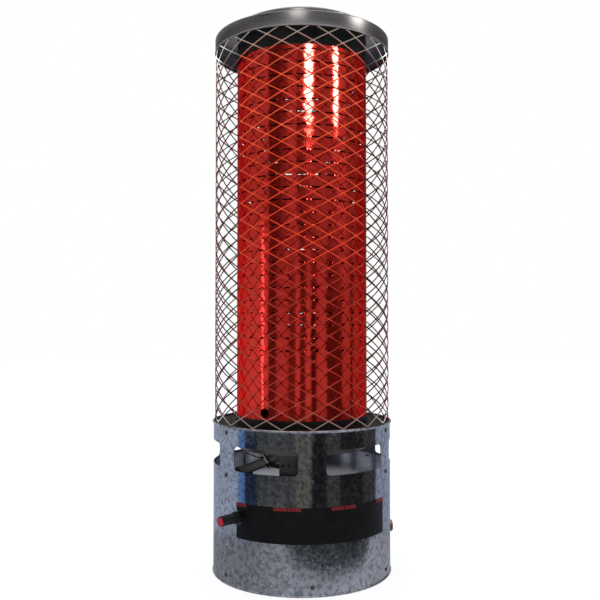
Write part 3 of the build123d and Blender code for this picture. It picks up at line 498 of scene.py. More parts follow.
def guard_steel():
    """The strands' smooth outer faces."""
    paint = Paint("guard_face", Metallic=1.0)
    mottle = paint.noise(70.0, 4.0, 0.6)
    paint.put(Base_Color=paint.ramp(mottle, ((0.3, (0.038, 0.038, 0.037)), (0.7, (0.058, 0.057, 0.056)))))
    paint.put(Roughness=paint.levels(mottle, 0.2, 0.8, 0.10, 0.16))
    paint.bump(mottle, 0.02, 0.4)
    return paint.material


def brushed_steel(name, brushing):
    """Brushed sheet, whose streaks follow the coordinates and the two scales that brushing gives."""
    paint = Paint(name, Metallic=1.0)
    along, fine_grain, broad_grain = brushing(paint)
    streaks = paint.noise(1.0, 4.0, 0.65, source=paint.stretched(fine_grain, along))
    broad = paint.noise(1.0, 3.0, 0.5, source=paint.stretched(broad_grain, along))
    grey_tone = paint.ramp(streaks, ((0.25, (0.42, 0.40, 0.39)), (0.75, (0.72, 0.70, 0.69))))
    darker = paint.levels(broad, 0.35, 0.7, 0.0, 0.45)
    paint.put(Base_Color=paint.mix(darker, grey_tone, (0.36, 0.34, 0.33)))
    paint.put(Roughness=paint.levels(streaks, 0.2, 0.8, 0.20, 0.36))
    paint.bump(streaks, 0.04, 0.5)
    return paint.material


def round_brushing(paint):
    """Streaks round the cap's band."""
    return paint.wrapped(CAP_RADIUS), (16.0, 1500.0, 1.0), (9.0, 60.0, 1.0)


def straight_brushing(paint):
    """Streaks straight across the flat sheets."""
    return paint.coords, (14.0, 900.0, 900.0), (5.0, 40.0, 40.0)


def black_enamel():
    """Heat-resistant black paint, a little uneven, with dust and faint rubs."""
    paint = Paint("black_enamel", Metallic=0.0, Specular_IOR_Level=0.35)
    cloud = paint.noise(22.0, 5.0, 0.6)
    dust = paint.noise(420.0, 3.0, 0.7)
    base = paint.ramp(cloud, ((0.3, (0.008, 0.010, 0.010)), (0.7, (0.024, 0.028, 0.027))))
    paint.put(Base_Color=paint.mix(paint.levels(dust, 0.62, 0.8, 0.0, 0.3), base, (0.12, 0.12, 0.12)))
    paint.put(Roughness=paint.levels(cloud, 0.2, 0.8, 0.36, 0.55))
    paint.bump(dust, 0.03)
    return paint.material


def plain_metal(name, low, high, roughness, metallic=1.0, scale=30.0, distance=0.05):
    """Metal with an uneven tone between two colours."""
    paint = Paint(name, Metallic=metallic)
    tone = paint.noise(scale, 4.0, 0.6)
    fine = paint.noise(scale * 9, 3.0, 0.6)
    paint.put(Base_Color=paint.ramp(tone, ((0.3, low), (0.7, high))))
    paint.put(Roughness=paint.levels(fine, 0.2, 0.8, *roughness))
    paint.bump(fine, distance)
    return paint.material


def plastic(name, low, high, roughness, shine=0.5):
    """Moulded plastic or film with a faint grain."""
    paint = Paint(name, Metallic=0.0, Specular_IOR_Level=shine)
    tone = paint.noise(45.0, 3.0)
    grain = paint.noise(1500.0, 2.0)
    paint.put(Base_Color=paint.ramp(tone, ((0.3, low), (0.7, high))))
    paint.put(Roughness=paint.levels(grain, 0.2, 0.8, *roughness))
    paint.bump(grain, 0.012)
    return paint.material


# ---------- the drum
WALL_LOW = 5.0
WALL_HIGH = 314.5
WALL_COLUMNS = 180
WINDOWS = 6
WINDOW_LOW = 222.0  # the row of wall that the windows are cut in
WINDOW_HIGH = 290.5
WINDOW_Z = 256.25
WINDOW_HALF_HEIGHT = 24.25
WINDOW_HALF_ANGLE = 21.7
WINDOW_ARC = 1.025  # a window's length round the wall over its straight width
WINDOW_CORNER = 9.0
VALVE_HOLE_RADIUS = 8.2
INLET_HOLE_RADIUS = 9.7
HOLE_CELL = 20.0  # half the height of the piece of wall round a hole
HOLE_CELL_ANGLE = 6  # half its width
SCREW_HEIGHTS = {"deck_screws": 305.5, "tray_screws": 220.0, "bottom_screws": 19.0}
SCREWS_IN_RING = 6
SCREW_HEAD = 5.6
SCREW_SHANK = 3.4
WASHER_RADIUS = 4.2
WASHER_EDGE = 0.45
TOP_ROLL = 2.3
FOOT_ROLL = 2.2


def drum_wall():
    """The base drum's wall, with its windows and the holes for the valve and the inlet."""
    wall = Wall(BASE_RADIUS, SHEET)
    arc_length = math.radians(1) * BASE_RADIUS
    around = 360 * arc_length
    hole_half = HOLE_CELL_ANGLE * arc_length
    hole_columns = WALL_COLUMNS * 2 * HOLE_CELL_ANGLE // 360
    low = WALL_LOW
    holes = ((INLET_ANGLE, INLET_Z, INLET_HOLE_RADIUS), (VALVE_ANGLE, VALVE_Z, VALVE_HOLE_RADIUS))
    for angle, z, radius in holes:
        u = angle * arc_length
        bottom, top = z - HOLE_CELL, z + HOLE_CELL
        wall.plain(0, around, low, bottom, WALL_COLUMNS)
        cell = (u - hole_half, u + hole_half, bottom, top)
        wall.opening(cell, (u, z), (radius, radius), radius - 0.01, (1, 1), 4.0)
        wall.plain(u + hole_half, u - hole_half + around, bottom, top, WALL_COLUMNS - hole_columns)
        low = top
    wall.plain(0, around, low, WINDOW_LOW, WALL_COLUMNS)
    half_width = math.sin(math.radians(WINDOW_HALF_ANGLE)) * BASE_RADIUS * WINDOW_ARC
    half = (half_width, WINDOW_HALF_HEIGHT)
    window_half = around / WINDOWS / 2
    for window in range(WINDOWS):
        u = (2 * window + 1) * window_half
        cell = (u - window_half, u + window_half, WINDOW_LOW, WINDOW_HIGH)
        wall.opening(cell, (u, WINDOW_Z), half, WINDOW_CORNER, (24, 6), 3.0)
    wall.plain(0, around, WINDOW_HIGH, WALL_HIGH, WALL_COLUMNS)
    return wall


def drum_shell(materials):
    """The base drum's wall and its rolled edges."""
    shape = Shape()
    # The wall's inner faces and the inside of the top roll take the second material: painted shade.
    drum_wall().into(shape, inner_material=1)
    inside = BASE_RADIUS - SHEET
    top_roll = [(inside, WALL_HIGH), (BASE_RADIUS, WALL_HIGH)]
    top_roll += arc(BASE_RADIUS + 0.5, BASE_HEIGHT - 2.1, TOP_ROLL, -80, 200, 14)
    shape.lathe(top_roll + [(inside, BASE_HEIGHT - 0.9)], shade_within=BASE_RADIUS - 0.2)
    foot_roll = [(inside, WALL_LOW), (inside, 0.0)]
    foot_roll += arc(BASE_RADIUS - 0.4, FOOT_ROLL, FOOT_ROLL, -90, 75, 10)
    shape.lathe(foot_roll + [(BASE_RADIUS - 0.5, WALL_LOW - 0.3), (BASE_RADIUS, WALL_LOW)])
    shape.finish("drum_shell", materials, nodes=["base_shell"], sharp=50)


def wall_screws(materials):
    """Hexagonal washer-headed sheet screws through the drum's wall."""
    washer = [(CORE, 0.0), (WASHER_RADIUS, 0.0)]
    washer += arc(WASHER_RADIUS, WASHER_EDGE, WASHER_EDGE, -90, 60, 4)
    washer += [(3.4, 2 * WASHER_EDGE), (CORE, 2 * WASHER_EDGE)]
    for name, z in SCREW_HEIGHTS.items():
        shape = Shape()
        for screw in range(SCREWS_IN_RING):
            place = outward(360 / SCREWS_IN_RING * screw, BASE_RADIUS, z)
            shape.lathe(washer, place, 28)
            shape.prism(6, SCREW_HEAD, ((1.0, 0.8), (1.0, 1.9), (0.86, 2.3)), place, start=17 * screw)
            shape.prism(12, SCREW_SHANK, ((0.6, -7.0), (1.0, -4.5), (1.0, 0.2)), place)
        shape.finish(name + "_heads", materials, nodes=[name])


# ---------- the radiant tube
SLOT_PITCH = 25.4
SLOT_ROWS = 25
LONG_ROWS = 13
SLOT_COLUMNS = 30
TOP_SLOT_Z = 1081.8
SLOT_FIRST_ANGLE = -6.3
SLOT_HALF_HEIGHT = 1.5
LONG_HALF = 10.25
SHORT_HALF = 4.5
LIP = 0.32
LIP_REACH = 5.0
LIP_PAST_END = 4.0
QUILT = 0.12
# The sheet's waves: (height, number round the tube, turn for each millimetre up, first turn).
WAVES = ((0.10, 3, 0.011, 0.0), (0.07, 7, -0.023, 1.3), (0.035, 17, 0.05, 0.0))
LIGHTING_HOLE_Z = 345.0
LIGHTING_HOLE_ANGLE = -38.5
LIGHTING_HOLE_RADIUS = 10.0
LIGHTING_CELL = 20.0  # half the height and width of the piece of wall round the lighting hole
PLAIN_ROW = 14.0  # the height of a row of faces in the plain sheet below the slots
PLAIN_COLUMNS = 180
TUBE_AROUND = 2 * math.pi * TUBE_RADIUS
COLUMN_PITCH = TUBE_AROUND / SLOT_COLUMNS
FIRST_COLUMN = math.radians(SLOT_FIRST_ANGLE) * TUBE_RADIUS


def slot_half(row):
    """Half a slot's length: the upper rows are long, and the lower ones short."""
    return LONG_HALF if row < LONG_ROWS else SHORT_HALF


def tube_swell(u, z):
    """How far the tube's sheet stands out: shallow waves, a quilting between the slots and their lips."""
    out = 0.0
    for size, number, lean, first_turn in WAVES:
        out += size * math.sin(number * u / TUBE_RADIUS + lean * z + first_turn)
    row = round((TOP_SLOT_Z - z) / SLOT_PITCH)
    if not 0 <= row < SLOT_ROWS:
        return out
    across = (u - FIRST_COLUMN + COLUMN_PITCH / 2) % COLUMN_PITCH - COLUMN_PITCH / 2
    height = z - (TOP_SLOT_Z - row * SLOT_PITCH)
    fullness = 0.6 + 0.4 * math.cos(2 * math.pi * height / SLOT_PITCH)
    out -= QUILT * math.cos(2 * math.pi * across / COLUMN_PITCH) * fullness
    share = max(0.0, 1 - (across / (slot_half(row) + LIP_PAST_END)) ** 2) ** 2
    past = max(0.0, abs(height) - SLOT_HALF_HEIGHT)
    lip = LIP * share * max(0.0, 1 - past / LIP_REACH) ** 2
    return out + lip if height < 0 else out - 0.5 * lip


def heated_sheet(materials):
    """The radiant tube with all its slots and the lighting hole."""
    wall = Wall(TUBE_RADIUS, SHEET, tube_swell)
    corner = SLOT_HALF_HEIGHT - 0.01
    for row in range(SLOT_ROWS):
        z = TOP_SLOT_Z - row * SLOT_PITCH
        top = TUBE_TOP if row == 0 else z + SLOT_PITCH / 2
        half = (slot_half(row), SLOT_HALF_HEIGHT)
        for column in range(SLOT_COLUMNS):
            u = FIRST_COLUMN + column * COLUMN_PITCH
            cell = (u - COLUMN_PITCH / 2, u + COLUMN_PITCH / 2, z - SLOT_PITCH / 2, top)
            wall.opening(cell, (u, z), half, corner, (6, 1), 3.2, steps=4)
    hole_u = math.radians(LIGHTING_HOLE_ANGLE) * TUBE_RADIUS
    low, high = LIGHTING_HOLE_Z - LIGHTING_CELL, LIGHTING_HOLE_Z + LIGHTING_CELL
    left, right = hole_u - LIGHTING_CELL, hole_u + LIGHTING_CELL
    levels = [TOP_SLOT_Z - (SLOT_ROWS - 0.5) * SLOT_PITCH]
    while levels[-1] - PLAIN_ROW > high:
        levels.append(levels[-1] - PLAIN_ROW)
    levels.append(high)
    for top, bottom in zip(levels, levels[1:]):
        wall.plain(0, TUBE_AROUND, bottom, top, PLAIN_COLUMNS)
    half = (LIGHTING_HOLE_RADIUS, LIGHTING_HOLE_RADIUS)
    cell = (left, right, low, high)
    wall.opening(cell, (hole_u, LIGHTING_HOLE_Z), half, LIGHTING_HOLE_RADIUS - 0.01, (1, 1), 3.0)
    hole_columns = int(PLAIN_COLUMNS * (right - left) / TUBE_AROUND)
    wall.plain(right, left + TUBE_AROUND, low, high, PLAIN_COLUMNS - hole_columns)
    wall.plain(0, TUBE_AROUND, DECK_TOP, low, PLAIN_COLUMNS)
    shape = Shape()
    # The inner face and the slot edges take the second material: painted shade.
    wall.into(shape, edge_material=1, inner_material=1)
    return shape.finish("heated_sheet", materials, nodes=["radiant_tube"], sharp=180)


# ---------- the guard
GUARD_COLUMNS = 19
GUARD_PITCH = 33.16
GUARD_NODE_Z = 320.2
GUARD_FIRST_ANGLE = 0.5
STRAND = 2.0
STRAND_DEPTH = 1.7
GUARD_FOOT = DECK_TOP + 0.2
GUARD_TOP = 1118.0
# Shares of a diamond's side where its points lie, on its opening and on its border.
EVEN_SHARES = (0.14, 0.32, 0.5, 0.68, 0.86)
OPENING_SHARES = (0.045, *EVEN_SHARES, 0.955)
BORDER_SHARES = (0.0, *EVEN_SHARES, 1.0)


def diamond(u, z, half_u, half_z, size, shares):
    """A diamond's points about its middle, kept between the guard's foot and its top."""
    tips = ((size, 0), (0, size), (-size, 0), (0, -size))
    points = []
    for start, end in zip(tips, tips[1:] + tips[:1]):
        for share in shares:
            x, y = between(start, end, share)
            points.append((u + x * half_u, max(GUARD_FOOT, min(GUARD_TOP, z + y * half_z))))
    return points


def guard_sheet(materials):
    """Expanded metal: diamonds between their strands, cut level at the foot and the top."""
    wall = Wall(GUARD_RADIUS, STRAND_DEPTH)
    width = 2 * math.pi * GUARD_RADIUS / GUARD_COLUMNS
    half_u, half_z = width / 2, GUARD_PITCH / 2
    size = 1 - STRAND * math.hypot(half_u, half_z) / (2 * half_u * half_z)
    first = math.radians(GUARD_FIRST_ANGLE) * GUARD_RADIUS
    rows = int((GUARD_TOP - GUARD_NODE_Z) / half_z) + 2
    for row in range(rows):
        z = GUARD_NODE_Z + row * half_z
        for column in range(GUARD_COLUMNS):
            u = first + (column + (0.5 if row % 2 == 0 else 0.0)) * width
            hole = diamond(u, z, half_u, half_z, size, OPENING_SHARES)
            wall.band(hole, diamond(u, z, half_u, half_z, 1, BORDER_SHARES))
    shape = Shape()
    # The strands' edges and inner faces take the second material: painted shade.
    wall.into(shape, edge_material=1, inner_material=1)
    return shape.finish("guard_sheet", materials, nodes=["guard_mesh"], sharp=180)


# ---------- the cap
CAP_SHEET = 0.9
CAP_ROUNDING = 2.2
HEM_RADIUS = 1.3
FLANGE_EDGE = 177.0
LID_ROUNDING = 4.0
DISH_OUTER = 116.0
DISH_INNER = 30.0
DISH_SLOPE = 4.0
DISH_DEPTH = 0.5
BOLT_SEAT_RADIUS = 9.0
BOLT_HEAD = 13.0
BOLT_THREAD = 8.0
BOLT_LENGTH = 38.0


def cap_skirt(materials):
    """The cap's band: rounded into its top flange, with a rolled hem below."""
    inside = CAP_RADIUS - CAP_SHEET
    round_z = CAP_TOP - CAP_ROUNDING
    outline = [(inside, CAP_BOTTOM + 3.6), (inside - 0.3, CAP_BOTTOM + 1.4)]
    outline += arc(CAP_RADIUS - 0.35, CAP_BOTTOM + HEM_RADIUS, HEM_RADIUS, -160, 60, 12)
    outline += [(CAP_RADIUS, CAP_BOTTOM + 3.4), (CAP_RADIUS, round_z)]
    outline += arc(CAP_RADIUS - CAP_ROUNDING, round_z, CAP_ROUNDING, 0, 90, 6)
    outline += [(FLANGE_EDGE + 0.6, CAP_TOP), (FLANGE_EDGE, CAP_TOP - 0.45)]
    outline += [(FLANGE_EDGE + 0.6, PLATE_TOP), (inside - 1.6, PLATE_TOP), (inside, PLATE_TOP - 1.8)]
    shape = Shape()
    # The band's inner face, under the cap, takes the second material: painted shade.
    shape.lathe(outline, segments=200, shade_within=inside + 0.01, shade_below=PLATE_TOP)
    return shape.finish("cap_skirt", materials, nodes=["cap_band"])


def raised_lid(materials):
    """The raised lid, pressed with a rounded shoulder and a shallow dish."""
    inside = LID_RADIUS - CAP_SHEET
    round_r, round_z = LID_RADIUS - LID_ROUNDING, LID_TOP - LID_ROUNDING
    low = LID_TOP - DISH_DEPTH
    dish = [(DISH_OUTER + DISH_SLOPE, LID_TOP), (DISH_OUTER, low)]
    dish += [(DISH_INNER, low), (DISH_INNER - DISH_SLOPE, LID_TOP), (CORE, LID_TOP)]
    outline = [(inside, PLATE_TOP), (LID_RADIUS, PLATE_TOP), (LID_RADIUS, round_z)]
    outline += arc(round_r, round_z, LID_ROUNDING, 0, 90, 8) + dish
    outline += [(radius, height - CAP_SHEET) for radius, height in reversed(dish)]
    outline += [(round_r, LID_TOP - CAP_SHEET), (inside, round_z - 0.4)]
    shape = Shape()
    shape.lathe(outline, segments=180)
    return shape.finish("raised_lid", materials, nodes=["cap_lid"])


def centre_bolt(materials):
    """The bolt on the lid: its seat, its hexagonal head and its thread down through the cap."""
    shape = Shape()
    seat = [(CORE, LID_TOP), (BOLT_SEAT_RADIUS, LID_TOP), (BOLT_SEAT_RADIUS + 0.4, LID_TOP + 0.3)]
    shape.lathe(seat + [(BOLT_SEAT_RADIUS, LID_TOP + 0.6), (CORE, LID_TOP + 0.6)], segments=40)
    head = ((1.0, LID_TOP + 0.5), (1.0, LID_TOP + 2.1), (0.88, LID_TOP + 2.6))
    shape.prism(6, BOLT_HEAD, head, start=20)
    tip = LID_TOP - BOLT_LENGTH
    shape.prism(12, BOLT_THREAD, ((0.7, tip), (1.0, tip + 1.5), (1.0, LID_TOP + 0.3)))
    shape.finish("centre_bolt_head", materials, nodes=["centre_bolt"])


# ---------- the push button and the inlet
BARREL_ROOT = -16.0  # heights here count outwards from the drum's wall
BARREL_FLANGE = 12.0
BARREL_RIM_Z = 46.2
BARREL_BORE = 8.62
STEM_HOLE = 3.1
BUTTON_RADIUS = 8.5
BUTTON_FOOT = 35.9
BUTTON_SHOULDER = 46.9
BUTTON_ROUNDING = 1.6
INLET_NECK = 9.5
INLET_HEXAGON = 11.0  # half its width across the flats
INLET_LENGTH = 8.5
INLET_BORE = 7.25
INLET_THREAD_DEPTH = 0.65
INLET_THREAD_PITCH = 1.3
INLET_THREADS = 5
INLET_SIDES = 48


def button_barrel(materials):
    """The black barrel: a root flange, a tapered body, and a rounded rim round the button."""
    outline = [(STEM_HOLE, BARREL_ROOT), (8.0, BARREL_ROOT), (8.0, 0.1), (BARREL_FLANGE, 0.1)]
    outline += arc(11.55, 0.9, 0.7, -60, 0, 3) + arc(11.2, 9.0, 1.05, 0, 80, 4)
    outline += [(10.35, 10.4), (10.3, 12.0), (9.80, BARREL_RIM_Z)]
    outline += arc(9.1, 46.8, 0.65, 0, 100, 5) + arc(8.85, 46.9, 0.25, 120, 190, 3)
    outline += [(BARREL_BORE, 14.0), (STEM_HOLE, 14.0)]
    shape = Shape()
    shape.lathe(outline, outward(VALVE_ANGLE, BASE_RADIUS, VALVE_Z), 72)
    shape.finish("button_barrel", materials, nodes=["reset_barrel"])


def button_cap(materials):
    """The red button: a rounded edge, a slightly hollow face and a socket for its stem."""
    outline = [(3.05, BUTTON_FOOT), (BUTTON_RADIUS, BUTTON_FOOT), (BUTTON_RADIUS, BUTTON_SHOULDER)]
    outline += arc(BUTTON_RADIUS - BUTTON_ROUNDING, BUTTON_SHOULDER, BUTTON_ROUNDING, 10, 80, 6)
    outline += [(6.0, 48.45), (3.5, 48.15), (CORE, 48.05), (CORE, 43.9), (3.05, 43.9)]
    shape = Shape()
    shape.lathe(outline, outward(VALVE_ANGLE, BASE_RADIUS, VALVE_Z), 64)
    shape.finish("button_cap", materials, body="reset_button", nodes=["reset_button"])


def inlet_body(materials):
    """The gas inlet: a chamfered hexagon, its tapped mouth and its neck through the wall."""
    place = outward(INLET_ANGLE, BASE_RADIUS, INLET_Z)
    shape = Shape()
    neck = [(4.1, -24.0), (INLET_NECK, -24.0), (INLET_NECK, 0.3), (10.6, 0.3), (10.6, 0.9), (4.1, 0.9)]
    shape.lathe(neck, place, 56)
    turns = [2 * math.pi * side / INLET_SIDES for side in range(INLET_SIDES)]
    widest = INLET_HEXAGON / math.cos(math.pi / 6)
    points = []
    for share, height in ((0.93, 0.1), (1.0, 0.9), (1.0, INLET_LENGTH - 0.8), (0.93, INLET_LENGTH)):
        for turn in turns:
            flat = INLET_HEXAGON / math.cos((turn + math.pi / 6) % (math.pi / 3) - math.pi / 6)
            points.append(turned(place, min(flat, widest * share), turn, height))
    root = INLET_BORE + INLET_THREAD_DEPTH
    bore = [(root, INLET_LENGTH), (INLET_BORE + 0.05, INLET_LENGTH - 0.6)]
    for thread in range(INLET_THREADS):
        height = INLET_LENGTH - 1.1 - INLET_THREAD_PITCH * thread
        bore += [(root, height), (INLET_BORE, height - INLET_THREAD_PITCH / 2)]
    bore += [(STEM_HOLE, 0.6), (STEM_HOLE, 0.1)]
    for radius, height in bore:
        points += [turned(place, radius, turn, height) for turn in turns]
    rings = len(points) // INLET_SIDES
    faces = []
    for ring in range(rings):
        near, far = ring * INLET_SIDES, (ring + 1) % rings * INLET_SIDES
        for side in range(INLET_SIDES):
            after = (side + 1) % INLET_SIDES
            faces.append((near + side, near + after, far + after, far + side))
    shape.add(points, faces)
    shape.finish("inlet_body", materials, nodes=["inlet_fitting"], sharp=25)


# ---------- the label
FILM_OUT = 0.45
FILM_THICKNESS = 0.4
JOIN_HALF_WIDTH = 0.66


def label_joins(materials):
    """Dark film in the two gaps between the label's three panels."""
    film = Wall(BASE_RADIUS + FILM_OUT, FILM_THICKNESS)
    for side in (-0.5, 0.5):
        u = math.radians(LABEL_CENTRE + side * LABEL_PITCH) * film.radius
        film.plain(u - JOIN_HALF_WIDTH, u + JOIN_HALF_WIDTH, LABEL_BOTTOM, LABEL_TOP, 1)
    shape = Shape()
    film.into(shape)
    shape.finish("label_joins", materials)


# ---------- studio
def camera():
    """The photograph's camera."""
    scene = bpy.context.scene
    made = bpy.data.objects.new("camera", bpy.data.cameras.new("camera"))
    scene.collection.objects.link(made)
    made.data.lens = CAMERA_LENS
    made.data.sensor_width = CAMERA_SENSOR
    made.data.clip_end = 60.0
    made.location = spot(CAMERA_ANGLE, CAMERA_DISTANCE, CAMERA_HEIGHT)
    turn = math.radians(CAMERA_ANGLE + CAMERA_TURN)
    made.rotation_euler = (math.radians(90 + CAMERA_PITCH), 0.0, turn)
    scene.camera = made
    scene.view_settings.view_transform = "Standard"


def grey(level, tint=(1.0, 1.0, 1.0)):
    return tuple(level * part for part in tint)


COOL = (0.86, 0.95, 1.20)
WARM = (1.10, 1.00, 0.86)

# The room that the metal mirrors, at three heights, as cards that stand side by side from straight behind
# the heater: (a card's right edge in degrees to the right of the camera, its colour).
UPPER_CARDS = (
    (-58, grey(0.36)), (-36, grey(0.07)), (-25, grey(0.16)), (-7, grey(0.38)),
    (16, grey(0.16)), (66, grey(0.28)), (82, grey(0.42)), (180, grey(0.23)))
MIDDLE_CARDS = (
    (-60, grey(0.60)), (-45, grey(0.09)), (-23, grey(0.40)), (-10, grey(0.12)), (-3, grey(0.52)),
    (6, grey(0.07)), (16, grey(0.50)), (25, grey(0.014)), (43, grey(0.41)), (74, grey(0.06)),
    (94, grey(0.35)), (100, grey(0.03)), (180, grey(0.36)))
LOWER_CARDS = (
    (-88, grey(0.41, COOL)), (-77, (0.10, 0.21, 0.44)), (-58, (0.018, 0.027, 0.052)), (-7, grey(0.070)),
    (12, grey(0.115, WARM)), (31, grey(0.015)), (49, grey(0.051)), (84, grey(0.018)),
    (109, grey(0.047)), (180, grey(0.34, COOL)))
CARD_EDGE = 2.0  # half the width of the soft edge between two cards, in degrees
# The ground in front: darker on the left, with a round dark rug whose far edge the drum mirrors.
GROUND = ((-180, 0.25), (-80, 0.22), (50, 0.44), (180, 0.28))
GROUND_TINT = (1.0, 1.02, 1.13)
RUG_MIDDLE = 36.0
RUG_HALF = 60.0
RUG_COLOUR = (0.040, 0.044, 0.048)
BAND_COLOUR = (0.052, 0.050, 0.052)
CEILING_COLOUR = (0.62, 0.63, 0.68)
BACKDROP = (1.0, 1.0, 1.0)
# Heights in the room, as the sine of the angle above the horizon. A pair is a soft edge's start and end.
GROUND_SLOPE = -0.268
GROUND_EDGE = 0.008
RUG_REACH = -0.047  # how far the rug's middle comes below the ground's far edge
LOWER_EDGE = (-0.285, -0.255)
MIDDLE_EDGE = (-0.128, -0.112)
UPPER_EDGE = (-0.01, 0.13)
BAND_EDGE = (0.335, 0.365)
CEILING_EDGE = (0.55, 0.75)


def room():
    """The room of cards, with a dim band and a pale ceiling above. The camera itself sees it white."""
    world = bpy.data.worlds.new("room")
    bpy.context.scene.world = world
    world.use_nodes = True
    world.node_tree.nodes.clear()
    nodes = Nodes(world.node_tree)
    direction = nodes.node("ShaderNodeTexCoord").outputs["Generated"]
    slope = nodes.split(direction)[2]
    turn = nodes.math("SUBTRACT", nodes.turn(direction), math.radians(CAMERA_ANGLE))
    turn = nodes.math("WRAP", turn, math.pi)
    turn.node.inputs[2].default_value = -math.pi
    share = nodes.levels(turn, -math.pi, math.pi)

    def by_direction(stops):
        return nodes.ramp(share, [((angle + 180) / 360, colour) for angle, colour in stops])

    def standing(cards):
        """The cards' colours by direction, with soft edges."""
        stops = [(-180, cards[0][1])]
        for (edge, colour), (_, following) in zip(cards, cards[1:]):
            stops += [(edge - CARD_EDGE, colour), (edge + CARD_EDGE, following)]
        return by_direction(stops)

    def above(edge, below, higher):
        """The room below an edge, and what takes its place above it."""
        return nodes.mix(nodes.levels(slope, *edge), below, higher)

    across = nodes.math("SUBTRACT", turn, math.radians(RUG_MIDDLE))
    across = nodes.math("DIVIDE", across, math.radians(RUG_HALF))
    inside = nodes.math("SUBTRACT", 1.0, nodes.math("POWER", across, 2.0))
    depth = nodes.math("SQRT", nodes.math("MAXIMUM", inside, 0.0))
    edge = nodes.math("ADD", nodes.math("MULTIPLY", depth, RUG_REACH), GROUND_SLOPE)
    ground = by_direction([(angle, grey(level, GROUND_TINT)) for angle, level in GROUND])
    lower = above(LOWER_EDGE, RUG_COLOUR, standing(LOWER_CARDS))
    seen = above((edge, nodes.math("ADD", edge, GROUND_EDGE)), ground, lower)
    seen = above(MIDDLE_EDGE, seen, standing(MIDDLE_CARDS))
    seen = above(UPPER_EDGE, seen, standing(UPPER_CARDS))
    seen = above(BAND_EDGE, seen, BAND_COLOUR)
    seen = above(CEILING_EDGE, seen, CEILING_COLOUR)
    by_camera = nodes.node("ShaderNodeLightPath").outputs["Is Camera Ray"]
    background = nodes.node("ShaderNodeBackground")
    nodes.link(nodes.mix(by_camera, seen, BACKDROP), background.inputs["Color"])
    output = nodes.node("ShaderNodeOutputWorld")
    nodes.link(background.outputs[0], output.inputs["Surface"])


LIGHT_DISTANCE = 3100.0
LAMP_WHITE = (1.0, 0.98, 0.95)
GUARD_LIGHT_DISTANCE = 1000.0
# Bands of light round the guard: (name, reach to each side in degrees, panels, lowest and highest z,
# brightness, colour).
GUARD_BANDS = (
    ("warm_top", 80.0, 5, 1080.0, 1372.0, 16.5, (1.0, 0.100, 0.032)),
    ("warm_middle", 80.0, 5, 700.0, 1080.0, 14.0, (1.0, 0.060, 0.016)),
    ("warm_low", 80.0, 5, 230.0, 700.0, 7.0, (1.0, 0.040, 0.010)),
    ("pale_high", 165.0, 9, 1380.0, 1640.0, 6.0, (0.80, 0.95, 0.84)),
    ("pale_low", 140.0, 8, 90.0, 230.0, 4.6, (0.84, 0.96, 0.84)))


def softbox(name, angle, distance, low, high, width, brightness, colour, lit):
    """A rectangular light between two heights that faces the heater's axis and lights only some pieces.

    Its angle counts from the camera towards the right.
    """
    data = bpy.data.lights.new(name, "AREA")
    data.shape = "RECTANGLE"
    data.size = width * MM
    data.size_y = (high - low) * MM
    data.energy = brightness * math.pi * data.size * data.size_y
    data.color = colour
    light = bpy.data.objects.new(name, data)
    bpy.context.scene.collection.objects.link(light)
    light.location = spot(angle + CAMERA_ANGLE, distance, (low + high) / 2)
    light.rotation_euler = (math.radians(90), 0.0, math.radians(angle + CAMERA_ANGLE))
    receivers = bpy.data.collections.new(name + "_lights")
    for piece in lit:
        receivers.objects.link(piece)
    light.light_linking.receiver_collection = receivers


def guard_lights(guard):
    """Arcs of soft lights round the guard: warm along the tube, and pale above and below it."""
    distance = GUARD_LIGHT_DISTANCE
    for name, reach, panels, low, high, brightness, colour in GUARD_BANDS:
        step = 2 * reach / panels
        width = 2 * distance * math.tan(math.radians(step / 2))
        for panel in range(panels):
            angle = -reach + step * (panel + 0.5)
            softbox(f"{name}_{panel}", angle, distance, low, high, width, brightness, colour, [guard])


def tube_lights(tube):
    """Two tall windows and a narrow lamp that the tube mirrors as streaks."""
    distance = LIGHT_DISTANCE
    softbox("window_left", 12.0, distance, 1700, 2260, 900, 34.0, LAMP_WHITE, [tube])
    softbox("window_right", 59.3, distance, 1690, 2260, 640, 34.0, LAMP_WHITE, [tube])
    softbox("tall_lamp", -70.5, distance, 0, 980, 190, 3.2, (1.0, 0.62, 0.85), [tube])


def cap_lights(pieces):
    """Two high softboxes that the cap's band and lid mirror."""
    distance = LIGHT_DISTANCE
    softbox("cap_light_left", -5.0, distance, 2000, 2700, 850, 2.3, (1.0, 0.97, 0.93), pieces)
    softbox("cap_light_right", 75.0, distance, 2000, 2700, 900, 4.2, (1.0, 0.97, 0.95), pieces)


def window_fill(pieces):
    """A soft light for what shows inside the air windows."""
    softbox("fill", -4.0, 2600, 280, 760, 1300, 8.0, (0.84, 0.88, 1.0), pieces)


def floor_paint():
    """Pale matt floor with a glow of its own that keeps it near white."""
    paint = Paint("floor", Metallic=0.0, Roughness=0.85, Emission_Color=(1.0, 1.0, 1.0),
                  Emission_Strength=0.72)
    tone = paint.noise(2.2, 3.0)
    paint.put(Base_Color=paint.ramp(tone, ((0.3, (0.86, 0.86, 0.87)), (0.7, (0.90, 0.90, 0.91)))))
    return paint.material


def floor():
    """A wide disc under the heater. Mirrors don't see it: they see the room's ground."""
    low = FLOOR_TOP - 0.4
    outline = [(CORE, low), (FLOOR_RADIUS, low), (FLOOR_RADIUS, FLOOR_TOP), (CORE, FLOOR_TOP)]
    shape = Shape()
    shape.lathe(outline, segments=96)
    mesh = bpy.data.meshes.new("floor")
    mesh.from_pydata(shape.points, [], shape.faces)
    mesh.materials.append(floor_paint())
    piece = bpy.data.objects.new("floor", mesh)
    bpy.context.scene.collection.objects.link(piece)
    piece.visible_glossy = False


